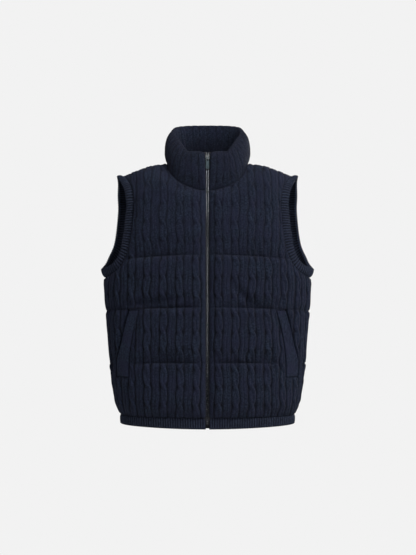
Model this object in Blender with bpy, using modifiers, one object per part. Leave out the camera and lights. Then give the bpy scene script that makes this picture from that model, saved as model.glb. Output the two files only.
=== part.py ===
"""Padded cable-knit vest with a stand collar and a full-length front zip, worn form, hollow inside.

Metres, +Z up. The front faces -Y, and left and right are the wearer's, so the left front is at +X.
The origin lies between the shoulders at the base of the neck.
Each cloth panel is laid out flat in its own pattern plane and then placed on the body:
"around" is the distance along the cloth from the centre front, "height" is the distance along it upwards.
"""
from bisect import bisect_right
from math import atan2, ceil, cos, exp, hypot, pi, sin

import bpy
import bmesh
from mathutils import Vector
from mathutils.geometry import delaunay_2d_cdt

GAP = 0.0003              # clear space at a seam
SEAM_OUT = 0.0020         # cloth outside the seam surface, at a seam
WALL_IN = 0.0035          # cloth inside the seam surface
PUFF = 0.0105             # height of the padding in the middle of a quilted channel
SIDE_FADE = 0.50          # share of the padding's height that is gone at the side line
SHOULDER_QUILT = 0.050    # height at which the top channel's padding ends
PINCH = 0.030             # width over which the padding dies away at a panel's edge

HEM_BOTTOM = -0.625
HEM_SEAM = -0.601
NECK_FRONT = -0.073       # collar seam at the centre front
ARMPIT = -0.2535          # lowest point of the armhole opening
SIDE_CAP = -0.100         # above this height the body's width no longer changes
SHOULDER_ROUND = 0.070    # radius over which front and back turn into the shoulder
SECTION_POWER = 2.4       # 2 would be an ellipse, more is squarer

ZIP_EDGE = 0.0080         # distance of the fabric's edge from the centre front
COLUMN_START = 0.0157     # first knitted column starts here, after the plain edge band
COLUMN_PITCH = 0.0188
CABLE_REPEAT = 0.048
GUTTER_ROW = 0.024        # distance between modelled points along a gutter
RIB_PITCH = 0.0066
ARM_RIB_WIDTH = 0.021
ARMPIT_FLARE = 0.0090     # the band stands out from the body under the arm
WELT_LIFT = 0.0080        # the front is smooth and this high under a pocket welt
WELT_THICK = 0.0030

# The cloth's section at its seams.
SECTIONS = (  # height, half_width, front_depth, back_depth
    (-0.640, 0.2035, 0.0990, 0.0940),
    (-0.625, 0.2035, 0.0990, 0.0940),
    (-0.601, 0.2042, 0.1010, 0.0960),
    (-0.590, 0.2075, 0.1070, 0.1020),
    (-0.569, 0.2130, 0.1120, 0.1070),
    (-0.530, 0.2197, 0.1155, 0.1105),
    (-0.478, 0.2258, 0.1170, 0.1120),
    (-0.425, 0.2297, 0.1180, 0.1135),
    (-0.355, 0.2358, 0.1190, 0.1150),
    (-0.305, 0.2388, 0.1190, 0.1170),
    (-0.260, 0.2420, 0.1185, 0.1190),
    (-0.200, 0.2400, 0.1170, 0.1200),
    (-0.150, 0.2335, 0.1135, 0.1190),
    (-0.100, 0.2265, 0.1070, 0.1140),
    (-0.060, 0.2265, 0.0985, 0.1030),
    (-0.020, 0.2265, 0.0880, 0.0900),
    (0.060, 0.2265, 0.0700, 0.0680),
)
SHOULDER_LINE = (  # across, height
    (-0.010, 0.0350),
    (0.000, 0.0350),
    (0.060, 0.0150),
    (0.100, -0.0070),
    (0.130, -0.0125),
    (0.150, -0.0178),
    (0.170, -0.0253),
    (0.195, -0.0340),
    (0.212, -0.0372),
    (0.240, -0.0440),
)
# Armhole opening, as the distance from the side line along the cloth: minus is the front.
ARMHOLE = (  # from_side, height
    (-0.0460, 0.0000),
    (-0.0470, -0.0120),
    (-0.0600, -0.0380),
    (-0.0775, -0.0750),
    (-0.0845, -0.1150),
    (-0.0905, -0.1600),
    (-0.0900, -0.1950),
    (-0.0845, -0.2170),
    (-0.0730, -0.2350),
    (-0.0550, -0.2460),
    (-0.0310, -0.2520),
    (0.0000, -0.2535),
    (0.0220, -0.2460),
    (0.0380, -0.2310),
    (0.0525, -0.2110),
    (0.0605, -0.1870),
    (0.0600, -0.1470),
    (0.0550, -0.1100),
    (0.0510, -0.0750),
    (0.0500, -0.0380),
    (0.0465, -0.0120),
    (0.0460, 0.0000),
)
NECK_EDGE_FRONT = (  # around, height
    (0.0080, -0.0730),
    (0.0180, -0.0722),
    (0.0340, -0.0675),
    (0.0560, -0.0590),
    (0.0750, -0.0450),
    (0.0870, -0.0230),
    (0.0930, 0.0060),
    (0.0960, 0.0350),
)
NECK_EDGE_BACK = (  # from_centre_back, height
    (0.0000, -0.0094),
    (0.0300, -0.0085),
    (0.0600, -0.0035),
    (0.0780, 0.0070),
    (0.0890, 0.0200),
    (0.0960, 0.0350),
)
COLLAR_TOP = (  # share of the way round from front to back, across, depth, height
    (0.00, 0.0080, -0.0880, 0.0190),
    (0.14, 0.0430, -0.0835, 0.0190),
    (0.25, 0.0525, -0.0690, 0.0290),
    (0.40, 0.0685, -0.0330, 0.0520),
    (0.55, 0.0830, 0.0100, 0.0750),
    (0.70, 0.0790, 0.0480, 0.0895),
    (0.85, 0.0470, 0.0740, 0.0970),
    (1.00, 0.0000, 0.0800, 0.0985),
)
# The collar's thickness from its seam up the outside, over the top and down the inside.
COLLAR_PROFILE = (  # share of the height, outwards
    (0.00, 0.0022),
    (0.10, 0.0070),
    (0.30, 0.0095),
    (0.55, 0.0098),
    (0.80, 0.0085),
    (0.95, 0.0062),
    (1.00, 0.0005),
    (0.95, -0.0052),
    (0.75, -0.0085),
    (0.40, -0.0080),
    (0.12, -0.0052),
    (0.00, -0.0035),
)
QUILT_SEAMS = (  # height at the centre front, how much lower at the side
    (-0.2215, 0.0240),
    (-0.3430, 0.0130),
    (-0.4706, 0.0075),
)
# Pocket welt on the left front; the other front has its mirror image.
WELT = (  # height, inner edge, outer edge, both as distance along the cloth from the centre front
    (-0.5060, 0.1840, 0.2185),
    (-0.4717, 0.1830, 0.2165),
    (-0.4300, 0.1780, 0.2040),
    (-0.3520, 0.1590, 0.1820),
)


def read_table(rows, x, column):
    """A smooth curve through one column of a table, over its first column."""
    keys = [row[0] for row in rows]
    i = max(1, min(len(rows) - 1, bisect_right(keys, x)))
    x0, x1 = keys[i - 1], keys[i]
    y0, y1 = rows[i - 1][column], rows[i][column]
    slope = (y1 - y0) / (x1 - x0)

    def tangent(k):
        if k <= 0 or k >= len(rows) - 1:
            return slope
        before = (rows[k][column] - rows[k - 1][column]) / (keys[k] - keys[k - 1])
        after = (rows[k + 1][column] - rows[k][column]) / (keys[k + 1] - keys[k])
        if before * after <= 0:
            return 0.0
        return 2 * before * after / (before + after)

    t = max(0.0, min(1.0, (x - x0) / (x1 - x0)))
    h = x1 - x0
    return ((1 + 2 * t) * (1 - t) ** 2 * y0 + t * (1 - t) ** 2 * h * tangent(i - 1)
            + t * t * (3 - 2 * t) * y1 - t * t * (1 - t) * h * tangent(i))


# ---------------------------------------------------------------- body surface
STATION_STEP = 0.010
STATION_LOW = -0.640
STATION_COUNT = 71
QUARTER_STEPS = 48


def quarter_section(half_width, depth):
    """A quarter of the section, from the centre line to the side: evenly spaced points and its length."""
    fine = 240
    points = []
    for i in range(fine + 1):
        angle = i / fine * pi / 2
        points.append((half_width * sin(angle) ** (2 / SECTION_POWER),
                       depth * max(0.0, cos(angle)) ** (2 / SECTION_POWER)))
    lengths = [0.0]
    for a, b in zip(points, points[1:]):
        lengths.append(lengths[-1] + hypot(b[0] - a[0], b[1] - a[1]))
    total = lengths[-1]
    even = []
    for k in range(QUARTER_STEPS + 1):
        target = total * k / QUARTER_STEPS
        i = max(1, min(fine, bisect_right(lengths, target)))
        t = (target - lengths[i - 1]) / (lengths[i] - lengths[i - 1])
        a, b = points[i - 1], points[i]
        even.append((a[0] + (b[0] - a[0]) * t, (a[1] + (b[1] - a[1]) * t) / depth))
    return even, total


STATIONS = []
for station in range(STATION_COUNT):
    level = STATION_LOW + station * STATION_STEP
    width = read_table(SECTIONS, level, 1)
    STATIONS.append((quarter_section(width, read_table(SECTIONS, level, 2)),
                     quarter_section(width, read_table(SECTIONS, level, 3))))


def station_at(height):
    place = (min(height, SIDE_CAP) - STATION_LOW) / STATION_STEP
    index = max(0, min(STATION_COUNT - 2, int(place)))
    return index, place - index


def quarter_length(height, back):
    """Length of the cloth from the centre front, or centre back, to the side line."""
    index, t = station_at(height)
    low = STATIONS[index][back][1]
    high = STATIONS[index + 1][back][1]
    return low + (high - low) * t


def across_and_ratio(distance, height, back):
    """Across position and share of the full depth, at a distance along the cloth from the centre line."""
    index, t = station_at(height)
    place = distance / quarter_length(height, back) * QUARTER_STEPS
    k = max(0, min(QUARTER_STEPS - 1, int(place)))
    u = place - k
    result = []
    for axis in (0, 1):
        values = []
        for row in (STATIONS[index][back][0], STATIONS[index + 1][back][0]):
            values.append(row[k][axis] + (row[k + 1][axis] - row[k][axis]) * u)
        result.append(values[0] + (values[1] - values[0]) * t)
    return result


def body_point(around, height):
    """A point of the seam surface on the wearer's left; around runs from centre front to centre back."""
    front_length = quarter_length(height, 0)
    back = int(around > front_length)
    if back:
        distance = front_length + quarter_length(height, 1) - around
    else:
        distance = around
    mirror = 1.0
    if distance < 0:
        mirror, distance = -1.0, -distance
    x, ratio = across_and_ratio(distance, height, back)
    round_start = read_table(SHOULDER_LINE, x, 1) - SHOULDER_ROUND
    z, closing = height, 1.0
    if height > round_start:
        turn = min((height - round_start) / SHOULDER_ROUND, pi / 2)
        z = round_start + SHOULDER_ROUND * sin(turn)
        closing = cos(turn)
    depth = read_table(SECTIONS, z, 3 if back else 2) * ratio * closing
    return Vector((x * mirror, depth if back else -depth, z))


def body_normal(around, height):
    step = 0.0015
    along = body_point(around + step, height) - body_point(around - step, height)
    up = body_point(around, height) - body_point(around, height - step)
    return along.cross(up).normalized()


def top_height(across):
    """Height along the cloth at which the front meets the back on the shoulder."""
    return read_table(SHOULDER_LINE, across, 1) - SHOULDER_ROUND + SHOULDER_ROUND * pi / 2


def front_place(around, height):
    return body_point(around, height), body_normal(around, height)


def back_place(from_centre, height):
    """Place for the back panel, whose pattern runs from side to side about the centre back."""
    full = quarter_length(height, 0) + quarter_length(height, 1)
    point = body_point(full - abs(from_centre), height)
    normal = body_normal(full - abs(from_centre), height)
    if from_centre < 0:
        point.x = -point.x
        normal.x = -normal.x
    return point, normal


# ---------------------------------------------------------------- edges shared by neighbours
def smooth_line(rows, spacing):
    """Evenly spaced points on a smooth curve through the rows of a two-column table."""
    dense = []
    for i in range(len(rows) - 1):
        p0 = rows[max(i - 1, 0)]
        p1, p2 = rows[i], rows[i + 1]
        p3 = rows[min(i + 2, len(rows) - 1)]
        for k in range(12):
            t = k / 12
            dense.append(tuple(
                0.5 * (2 * p1[a] + (p2[a] - p0[a]) * t
                       + (2 * p0[a] - 5 * p1[a] + 4 * p2[a] - p3[a]) * t * t
                       + (3 * p1[a] - p0[a] - 3 * p2[a] + p3[a]) * t ** 3) for a in (0, 1)))
    dense.append(tuple(rows[-1]))
    return even_line(dense, spacing)


def even_line(points, spacing):
    lengths = [0.0]
    for a, b in zip(points, points[1:]):
        lengths.append(lengths[-1] + hypot(b[0] - a[0], b[1] - a[1]))
    count = max(1, round(lengths[-1] / spacing))
    result = []
    for k in range(count + 1):
        target = lengths[-1] * k / count
        i = max(1, min(len(points) - 1, bisect_right(lengths, target)))
        t = (target - lengths[i - 1]) / (lengths[i] - lengths[i - 1])
        result.append(tuple(points[i - 1][a] + (points[i][a] - points[i - 1][a]) * t for a in (0, 1)))
    return result


def moved_line(points, distance):
    """The line moved sideways, to the left of its direction."""
    result = []
    for i, point in enumerate(points):
        before, after = points[max(i - 1, 0)], points[min(i + 1, len(points) - 1)]
        dx, dy = after[0] - before[0], after[1] - before[1]
        size = hypot(dx, dy)
        result.append((point[0] - dy / size * distance, point[1] + dx / size * distance))
    return result


ARM_OPENING = smooth_line(ARMHOLE, RIB_PITCH / 2)
ARM_SEAM = moved_line(ARM_OPENING, -ARM_RIB_WIDTH)
PANEL_ARM_EDGE = moved_line(ARM_SEAM, -GAP / 2)
BAND_ARM_EDGE = moved_line(ARM_SEAM, GAP / 2)
SIDE_INDEX = min(range(len(ARM_SEAM)), key=lambda i: abs(ARM_SEAM[i][0]))
ARM_STRIDE = 3            # the panels' edges use every third sample of the armhole seam


def arm_around(from_side, height):
    return from_side + quarter_length(height, 0)


# ---------------------------------------------------------------- surface relief
def soft_step(x):
    x = max(0.0, min(1.0, x))
    return x * x * (3 - 2 * x)


def quilt_height(row, from_centre, height):
    share = min(1.0, abs(from_centre) / quarter_length(height, 0))
    return row[0] - row[1] * share * share


def puff_at(from_centre, height):
    """Share of the padding's full height, nothing at the quilting seams."""
    edges = [SHOULDER_QUILT] + [quilt_height(row, from_centre, height) for row in QUILT_SEAMS] + [HEM_SEAM]
    for high, low in zip(edges, edges[1:]):
        if height >= low:
            break
    share = max(0.0, min(1.0, (height - low) / (high - low)))
    to_side = min(1.0, abs(from_centre) / quarter_length(height, 0))
    return (4 * share * (1 - share)) ** 0.6 * (1 - SIDE_FADE * to_side ** 3)


def knit_relief(from_centre, height):
    """Raised columns with sunk gutters; every other column is a two-strand cable."""
    place = (abs(from_centre) - COLUMN_START) / COLUMN_PITCH
    if place < 0:
        return 0.0016
    column = int(place)
    across = place - column
    crest = sin(pi * across) ** 0.7
    if column % 2:
        return 0.0024 * crest
    turn = 2 * pi * height / CABLE_REPEAT
    slant = sin(2 * pi * across) * (-1 if from_centre >= 0 else 1)
    return crest * (0.0030 + 0.0014 * slant * cos(turn))


def welt_mask(from_centre, height):
    """1 under a pocket welt, 0 well clear of it."""
    distance = abs(from_centre)
    middle = (read_table(WELT, height, 1) + read_table(WELT, height, 2)) / 2
    half = (read_table(WELT, height, 2) - read_table(WELT, height, 1)) / 2
    sideways = abs(distance - middle) - half
    endways = max(WELT[0][0] - height, height - WELT[-1][0])
    return 1 - soft_step((max(sideways, endways) - 0.011) / 0.013)


# ---------------------------------------------------------------- mesh helpers
def material(name, colour, roughness, metallic=0.0):
    made = bpy.data.materials.new(name)
    made.use_nodes = True
    shader = made.node_tree.nodes["Principled BSDF"]
    shader.inputs["Base Color"].default_value = (*colour, 1.0)
    shader.inputs["Roughness"].default_value = roughness
    shader.inputs["Metallic"].default_value = metallic
    return made


def add_mesh(name, collection, points, faces, surface, mirror=False):
    if mirror:
        points = [(-p[0], p[1], p[2]) for p in points]
    mesh = bpy.data.meshes.new(name)
    mesh.from_pydata([tuple(p) for p in points], [], faces)
    made = bmesh.new()
    made.from_mesh(mesh)
    bmesh.ops.triangulate(made, faces=made.faces)
    bmesh.ops.recalc_face_normals(made, faces=made.faces)
    made.to_mesh(mesh)
    made.free()
    item = bpy.data.objects.new(name, mesh)
    mesh.materials.append(surface)
    collection.objects.link(item)
    return item


def distance_to_line(point, line):
    """Distance from a point of the pattern to its closed outline."""
    best = 9.0
    for a, b in zip(line, line[1:] + line[:1]):
        dx, dy = b[0] - a[0], b[1] - a[1]
        square = dx * dx + dy * dy
        t = 0.0
        if square > 0:
            t = max(0.0, min(1.0, ((point[0] - a[0]) * dx + (point[1] - a[1]) * dy) / square))
        best = min(best, hypot(point[0] - a[0] - dx * t, point[1] - a[1] - dy * t))
    return best


def inside(point, line):
    hit = False
    for a, b in zip(line, line[1:] + line[:1]):
        if (a[1] > point[1]) != (b[1] > point[1]):
            if point[0] < (b[0] - a[0]) * (point[1] - a[1]) / (b[1] - a[1]) + a[0]:
                hit = not hit
    return hit


def fill_outline(outline, inner):
    """Triangles of the pattern: the outline's points keep their numbers, and inner points follow."""
    count = len(outline)
    edges = [(i, (i + 1) % count) for i in range(count)]
    points = [Vector(p) for p in outline + inner]
    found, _, faces, origin, _, _ = delaunay_2d_cdt(points, edges, [list(range(count))], 1, 1e-7)
    renumber = [origin[i][0] for i in range(len(found))]
    return [[renumber[i] for i in face] for face in faces]


def knit_points(outline, low_around, high_around):
    """Points of the outer face on the gutters, crests and quilting seams of a panel."""
    marks = []
    column = 0
    while COLUMN_START + column * COLUMN_PITCH < max(abs(low_around), high_around):
        start = COLUMN_START + column * COLUMN_PITCH
        marks.append((start, 0.0, GUTTER_ROW))
        if column % 2:
            marks.append((start + COLUMN_PITCH * 0.5, 0.5, GUTTER_ROW))
        else:
            marks.append((start + COLUMN_PITCH * 0.28, 0.0, GUTTER_ROW))
            marks.append((start + COLUMN_PITCH * 0.72, 0.5, GUTTER_ROW))
        column += 1
    points = []
    for mark, phase, row_step in marks:
        for around in ((mark, -mark) if low_around < 0 else (mark,)):
            seams = [quilt_height(row, around, row[0]) for row in QUILT_SEAMS]
            rows = [HEM_SEAM + (i + phase) * row_step for i in range(28)]
            rows = [h for h in rows if min(abs(h - s) for s in seams) > row_step * 0.4]
            for height in rows + seams:
                point = (around, height)
                if inside(point, outline) and distance_to_line(point, outline) > 0.0055:
                    points.append(point)
    return points


def wall_panel(name, collection, surface, outline, place, low_around, high_around, edge_directions,
               mirror=False):
    """A padded wall: knitted and quilted outside, plain inside, closed round its edge."""
    raised = knit_points(outline, low_around, high_around)
    plain_step = 0.055
    plain = []
    for i in range(int(low_around / plain_step) - 1, int(high_around / plain_step) + 2):
        for k in range(-12, 2):
            point = ((i + 0.5) * plain_step, k * plain_step)
            if inside(point, outline) and distance_to_line(point, outline) > 0.018:
                plain.append(point)
    points = []
    for index, (around, height) in enumerate(outline):
        point, normal = place(around, height)
        points.append(point + edge_directions.get(index, normal) * SEAM_OUT)
    for around, height in raised:
        point, normal = place(around, height)
        pinch = soft_step(distance_to_line((around, height), outline) / PINCH) ** 0.5
        lift = PUFF * puff_at(around, height) * pinch
        mask = 0.0 if low_around < 0 else welt_mask(around, height)
        lift = lift * (1 - mask) + (WELT_LIFT - SEAM_OUT) * mask
        lift += knit_relief(around, height) * (1 - mask)
        points.append(point + normal * (SEAM_OUT + lift))
    first_inner = len(points)
    for index, (around, height) in enumerate(outline):
        point, normal = place(around, height)
        points.append(point - edge_directions.get(index, normal) * WALL_IN)
    for around, height in plain:
        point, normal = place(around, height)
        points.append(point - normal * WALL_IN)
    faces = fill_outline(outline, raised)
    faces += [[first_inner + i for i in reversed(face)] for face in fill_outline(outline, plain)]
    count = len(outline)
    for i in range(count):
        j = (i + 1) % count
        faces.append([j, i, first_inner + i, first_inner + j])
    return add_mesh(name, collection, points, faces, surface, mirror)


# ---------------------------------------------------------------- collar seam
def neck_samples():
    """The neck seam from centre front to centre back: pattern place, body point and body normal."""
    front = smooth_line(NECK_EDGE_FRONT, COLUMN_PITCH / 2)
    back = smooth_line(NECK_EDGE_BACK, COLUMN_PITCH / 2)[::-1]
    return front, back


def collar_lines():
    """For each seam sample, its point, the collar's top point, and the mitred direction at the seam."""
    front, back = neck_samples()
    base = [front_place(*p) for p in front[:-1]]
    shoulder = front_place(front[-1][0], front[-1][1])[0]
    shoulder.y = 0.0
    base.append((shoulder, Vector((0.0, 0.0, 1.0))))
    base += [back_place(*p) for p in back[1:]]
    lengths = [0.0]
    for a, b in zip(base, base[1:]):
        lengths.append(lengths[-1] + (b[0] - a[0]).length)
    lines = []
    for i, (point, normal) in enumerate(base):
        share = lengths[i] / lengths[-1]
        top = Vector([read_table(COLLAR_TOP, share, column) for column in (1, 2, 3)])
        before, after = base[max(i - 1, 0)][0], base[min(i + 1, len(base) - 1)][0]
        along = (after - before).normalized()
        up = (top - point).normalized()
        outward = along.cross(up).normalized()
        lines.append((point, top, outward, (normal + outward).normalized(), lengths[i]))
    return lines, len(front)


def collar_sections(lines):
    """The collar's ring of sections on the wearer's left, front to back."""
    sections = []
    for point, top, outward, mitre, length in lines:
        rise = top - point
        column = length / COLUMN_PITCH
        crest = sin(pi * (column - int(column))) ** 0.7
        section = []
        for row, (share, offset) in enumerate(COLLAR_PROFILE):
            if row == 0 or row == len(COLLAR_PROFILE) - 1:
                section.append(point + rise.normalized() * 0.0004 + mitre * offset)
                continue
            rib = 0.0022 * crest * sin(pi * share) ** 0.5 if 0 < share < 1 else 0.0
            section.append(point + rise * share + outward * (offset + (rib if offset > 0 else -rib)))
        sections.append(section)
    return sections


def loft(sections, closed=False):
    """Faces of a tube through like sections; open ends are capped."""
    count = len(sections[0])
    points = [p for section in sections for p in section]
    faces = []
    last = len(sections) if closed else len(sections) - 1
    for i in range(last):
        j = (i + 1) % len(sections)
        for k in range(count):
            m = (k + 1) % count
            faces.append([i * count + k, i * count + m, j * count + m, j * count + k])
    if not closed:
        faces.append(list(range(count)))
        faces.append([(len(sections) - 1) * count + k for k in reversed(range(count))])
    return points, faces


def mirrored(sections):
    return [[Vector((-p.x, p.y, p.z)) for p in section] for section in sections]


# ---------------------------------------------------------------- pieces
def build_fronts(collection, knit):
    lines, _ = collar_lines()
    neck, _ = neck_samples()
    edge = PANEL_ARM_EDGE[:SIDE_INDEX + 1]
    hem = even_line([(ZIP_EDGE, HEM_SEAM), (quarter_length(HEM_SEAM, 0) - GAP / 2, HEM_SEAM)], 0.0094)
    side_top = edge[-1][1]
    side = [(quarter_length(h, 0) - GAP / 2, h)
            for h in [HEM_SEAM + (side_top - HEM_SEAM) * i / 22 for i in range(1, 22)]]
    arm = [(min(arm_around(r, h), quarter_length(h, 0) - GAP / 2), h) for r, h in reversed(edge)]
    arm = thinned(arm)
    shoulder = shoulder_edge(arm[-1], neck[-1])
    neck_part = [(a, h) for a, h in reversed(neck[:-1])]
    centre = [(ZIP_EDGE, NECK_FRONT + (HEM_SEAM - NECK_FRONT) * i / 26) for i in range(1, 26)]
    outline = hem + side + arm[:-1] + shoulder + neck_part + centre
    first_neck = len(hem) + len(side) + len(arm) - 1 + len(shoulder)
    directions = {first_neck - 1: lines[len(neck) - 1][3]}
    for k in range(len(neck_part)):
        directions[first_neck + k] = lines[len(neck) - 2 - k][3]
    for name, mirror in (("front_left", False), ("front_right", True)):
        wall_panel(name, collection, knit, outline, front_place, 0.0,
                   quarter_length(ARMPIT, 0), directions, mirror)


def thinned(line):
    """Every third point of a line, with both its ends."""
    return line[:-1:ARM_STRIDE] + [line[-1]]


def shoulder_edge(arm_end, neck_end):
    """The shoulder edge from the armhole to the neck, just short of the shoulder line."""
    result = []
    for i in range(7):
        around = arm_end[0] - 2 * GAP + (neck_end[0] - arm_end[0] + 2 * GAP) * i / 6
        across = across_and_ratio(around, SIDE_CAP, 0)[0]
        result.append((around, top_height(across) - GAP))
    return result


def build_back(collection, knit):
    lines, front_count = collar_lines()
    _, neck = neck_samples()
    edge = PANEL_ARM_EDGE[SIDE_INDEX:]
    half_hem = quarter_length(HEM_SEAM, 1) - GAP / 2
    hem = even_line([(-half_hem, HEM_SEAM), (half_hem, HEM_SEAM)], 0.0094)
    side_top = edge[0][1]
    heights = [HEM_SEAM + (side_top - HEM_SEAM) * i / 22 for i in range(1, 22)]
    side = [(quarter_length(h, 1) - GAP / 2, h) for h in heights]
    arm = [(quarter_length(h, 1) - max(r, GAP / 2), h) for r, h in edge]
    arm = thinned(arm)
    shoulder = []
    for i in range(7):
        from_centre = arm[-1][0] - 2 * GAP + (neck[0][0] - arm[-1][0] + 2 * GAP) * i / 6
        across = across_and_ratio(from_centre, SIDE_CAP, 1)[0]
        shoulder.append((from_centre, top_height(across) - GAP))
    left = side + arm[:-1] + shoulder
    neck_left = neck[1:]
    neck_all = neck_left + [(-a, h) for a, h in reversed(neck_left[:-1])]
    outline = hem + left + neck_all + [(-a, h) for a, h in reversed(left)]
    first_neck = len(hem) + len(left)
    directions = {}
    middle = len(neck_left) - 1
    for k in range(-1, len(neck_all) + 1):
        distance = abs(k - middle)
        mitre = lines[len(lines) - 1 - distance][3].copy()
        if k > middle:
            mitre.x = -mitre.x
        directions[first_neck + k] = mitre
    reach = quarter_length(ARMPIT, 1)
    wall_panel("back", collection, knit, outline, back_place, -reach, reach, directions)


def build_collar(collection, knit):
    lines, _ = collar_lines()
    left = collar_sections(lines)
    points, faces = loft(left + mirrored(left)[-2::-1])
    add_mesh("collar", collection, points, faces, knit)


def build_arm_ribs(collection, rib):
    """A ribbed band round each armhole: two strips of knit meeting at the open edge."""
    sections = []
    for i, (opening, seam) in enumerate(zip(ARM_OPENING, BAND_ARM_EDGE)):
        raised = 0.0011 if i % 2 else 0.0
        seam_point, seam_normal = front_place(arm_around(*seam), seam[1])
        edge_point, edge_normal = front_place(arm_around(*opening), opening[1])
        edge_point = edge_point + edge_normal * ARMPIT_FLARE * exp(-(opening[0] / 0.030) ** 2)
        sections.append([seam_point + seam_normal * SEAM_OUT,
                         edge_point + edge_normal * (0.0026 + raised),
                         edge_point - edge_normal * 0.0026,
                         seam_point - seam_normal * WALL_IN])
    straighten_seam(sections)
    points, faces = loft(close_at_shoulder(sections))
    for name, mirror in (("armhole_rib_left", False), ("armhole_rib_right", True)):
        add_mesh(name, collection, points, faces, rib, mirror)


def straighten_seam(sections):
    """Between the samples that the panels' edges use, the band's seam runs straight, as theirs does."""
    last = len(sections) - 1
    anchors = {0, last} | set(range(SIDE_INDEX, -1, -ARM_STRIDE))
    anchors = sorted(anchors | set(range(SIDE_INDEX, last, ARM_STRIDE)))
    for low, high in zip(anchors, anchors[1:]):
        for i in range(low + 1, high):
            share = (i - low) / (high - low)
            for corner in (0, 3):
                sections[i][corner] = sections[low][corner].lerp(sections[high][corner], share)


def close_at_shoulder(sections):
    """The band's two ends stop half a gap short of the shoulder line."""
    for section, side in ((sections[0], -1), (sections[-1], 1)):
        for point in section:
            point.y = side * GAP / 2
        for corner in (0, 3):
            section[corner].x += 2 * GAP
    return sections


def build_hem_rib(collection, rib):
    """The ribbed band along the bottom, open at the zip."""
    front = quarter_length(HEM_SEAM, 0)
    half = front + quarter_length(HEM_SEAM, 1)
    count = ceil((half - ZIP_EDGE) / (RIB_PITCH / 2))
    sections = []
    for i in range(count + 1):
        share = (ZIP_EDGE + (half - ZIP_EDGE) * i / count) / half
        raised = 0.0012 if i % 2 else 0.0
        section = []
        for height, offset in ((HEM_SEAM - GAP, SEAM_OUT + raised * 0.3),
                               (HEM_BOTTOM, 0.0030 + raised),
                               (HEM_BOTTOM, -0.0030),
                               (HEM_SEAM - GAP, -WALL_IN)):
            around = share * (quarter_length(height, 0) + quarter_length(height, 1))
            around = max(around, ZIP_EDGE) if i == 0 else around
            point, normal = front_place(around, height)
            section.append(point + normal * offset)
        if i == 0:
            for point in section:
                point.x = ZIP_EDGE
        sections.append(section)
    points, faces = loft(sections + mirrored(sections)[-2::-1])
    add_mesh("hem_rib", collection, points, faces, rib)


def build_welts(collection, plain):
    """A slanted strip of plain knit over each pocket, from the front's own points moved out."""
    sections = []
    for i in range(13):
        height = WELT[0][0] + (WELT[-1][0] - WELT[0][0]) * i / 12
        inner, outer = read_table(WELT, height, 1), read_table(WELT, height, 2)
        low, high = [], []
        for share in (0.0, 0.25, 0.5, 0.75, 1.0):
            point, normal = front_place(inner + (outer - inner) * share, height)
            round_off = 0.0 if 0.1 < share < 0.9 else 0.0010
            low.append(point + normal * (WELT_LIFT + 0.0006))
            high.append(point + normal * (WELT_LIFT + 0.0006 + WELT_THICK - round_off))
        sections.append(low + high[::-1])
    points, faces = loft(sections)
    for name, mirror in (("pocket_welt_left", False), ("pocket_welt_right", True)):
        add_mesh(name, collection, points, faces, plain, mirror)


# ---------------------------------------------------------------- zip
CHAIN_HALF = 0.0031
CHAIN_THICK = 0.0030
TAPE_THICK = 0.0010
BOX_TOP = -0.6145
BOX_HALF = 0.0045
SLIDER_LOW = -0.0010
SLIDER_HIGH = 0.0116
SLIDER_HALF = 0.0053
SLIDER_THICK = 0.0060
ZIP_TOP = 0.0175
STOP_LOW = 0.0121
STOP_HIGH = 0.0160
BAIL_HALF = 0.0011
BAIL_LOW = 0.0005
BAIL_HIGH = 0.0105
BAIL_LEG = 0.0020
BAIL_INNER = 0.0053       # outwards from the zip's plane
BAIL_OUTER = 0.0068
PIVOT_OUT = 0.0042
PIVOT_HEIGHT = 0.0035
TAB_THICK = 0.0012
TAB_LENGTH = 0.0265
TAB_HALF = 0.0036
TAB_HALF_LOW = 0.0041
TAB_BAR = 0.00065         # half the height of the bar that turns inside the bail
TAB_SLOT_HALF = 0.0020
TAB_SLOT_END = 0.0076
TAB_HOLE = 0.0013


def zip_point(height):
    """The zip's centre line, in the cloth's seam surface and then in the collar."""
    if height <= NECK_FRONT:
        return body_point(0.0, height)
    low = body_point(0.0, NECK_FRONT)
    top = Vector((0.0, COLLAR_TOP[0][2], COLLAR_TOP[0][3]))
    return low + (top - low) * (height - low.z) / (top.z - low.z)


def zip_heights(low, high, step=0.030):
    count = max(1, ceil((high - low) / step))
    return [low + (high - low) * i / count for i in range(count + 1)]


def flat_strip(rows, thick):
    """A strip that follows the zip's line: rows of height, inner and outer distance across."""
    sections = []
    for height, inner, outer in rows:
        y = zip_point(height).y
        sections.append([Vector((inner, y - thick / 2, height)), Vector((outer, y - thick / 2, height)),
                         Vector((outer, y + thick / 2, height)), Vector((inner, y + thick / 2, height))])
    return loft(sections)


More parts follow.
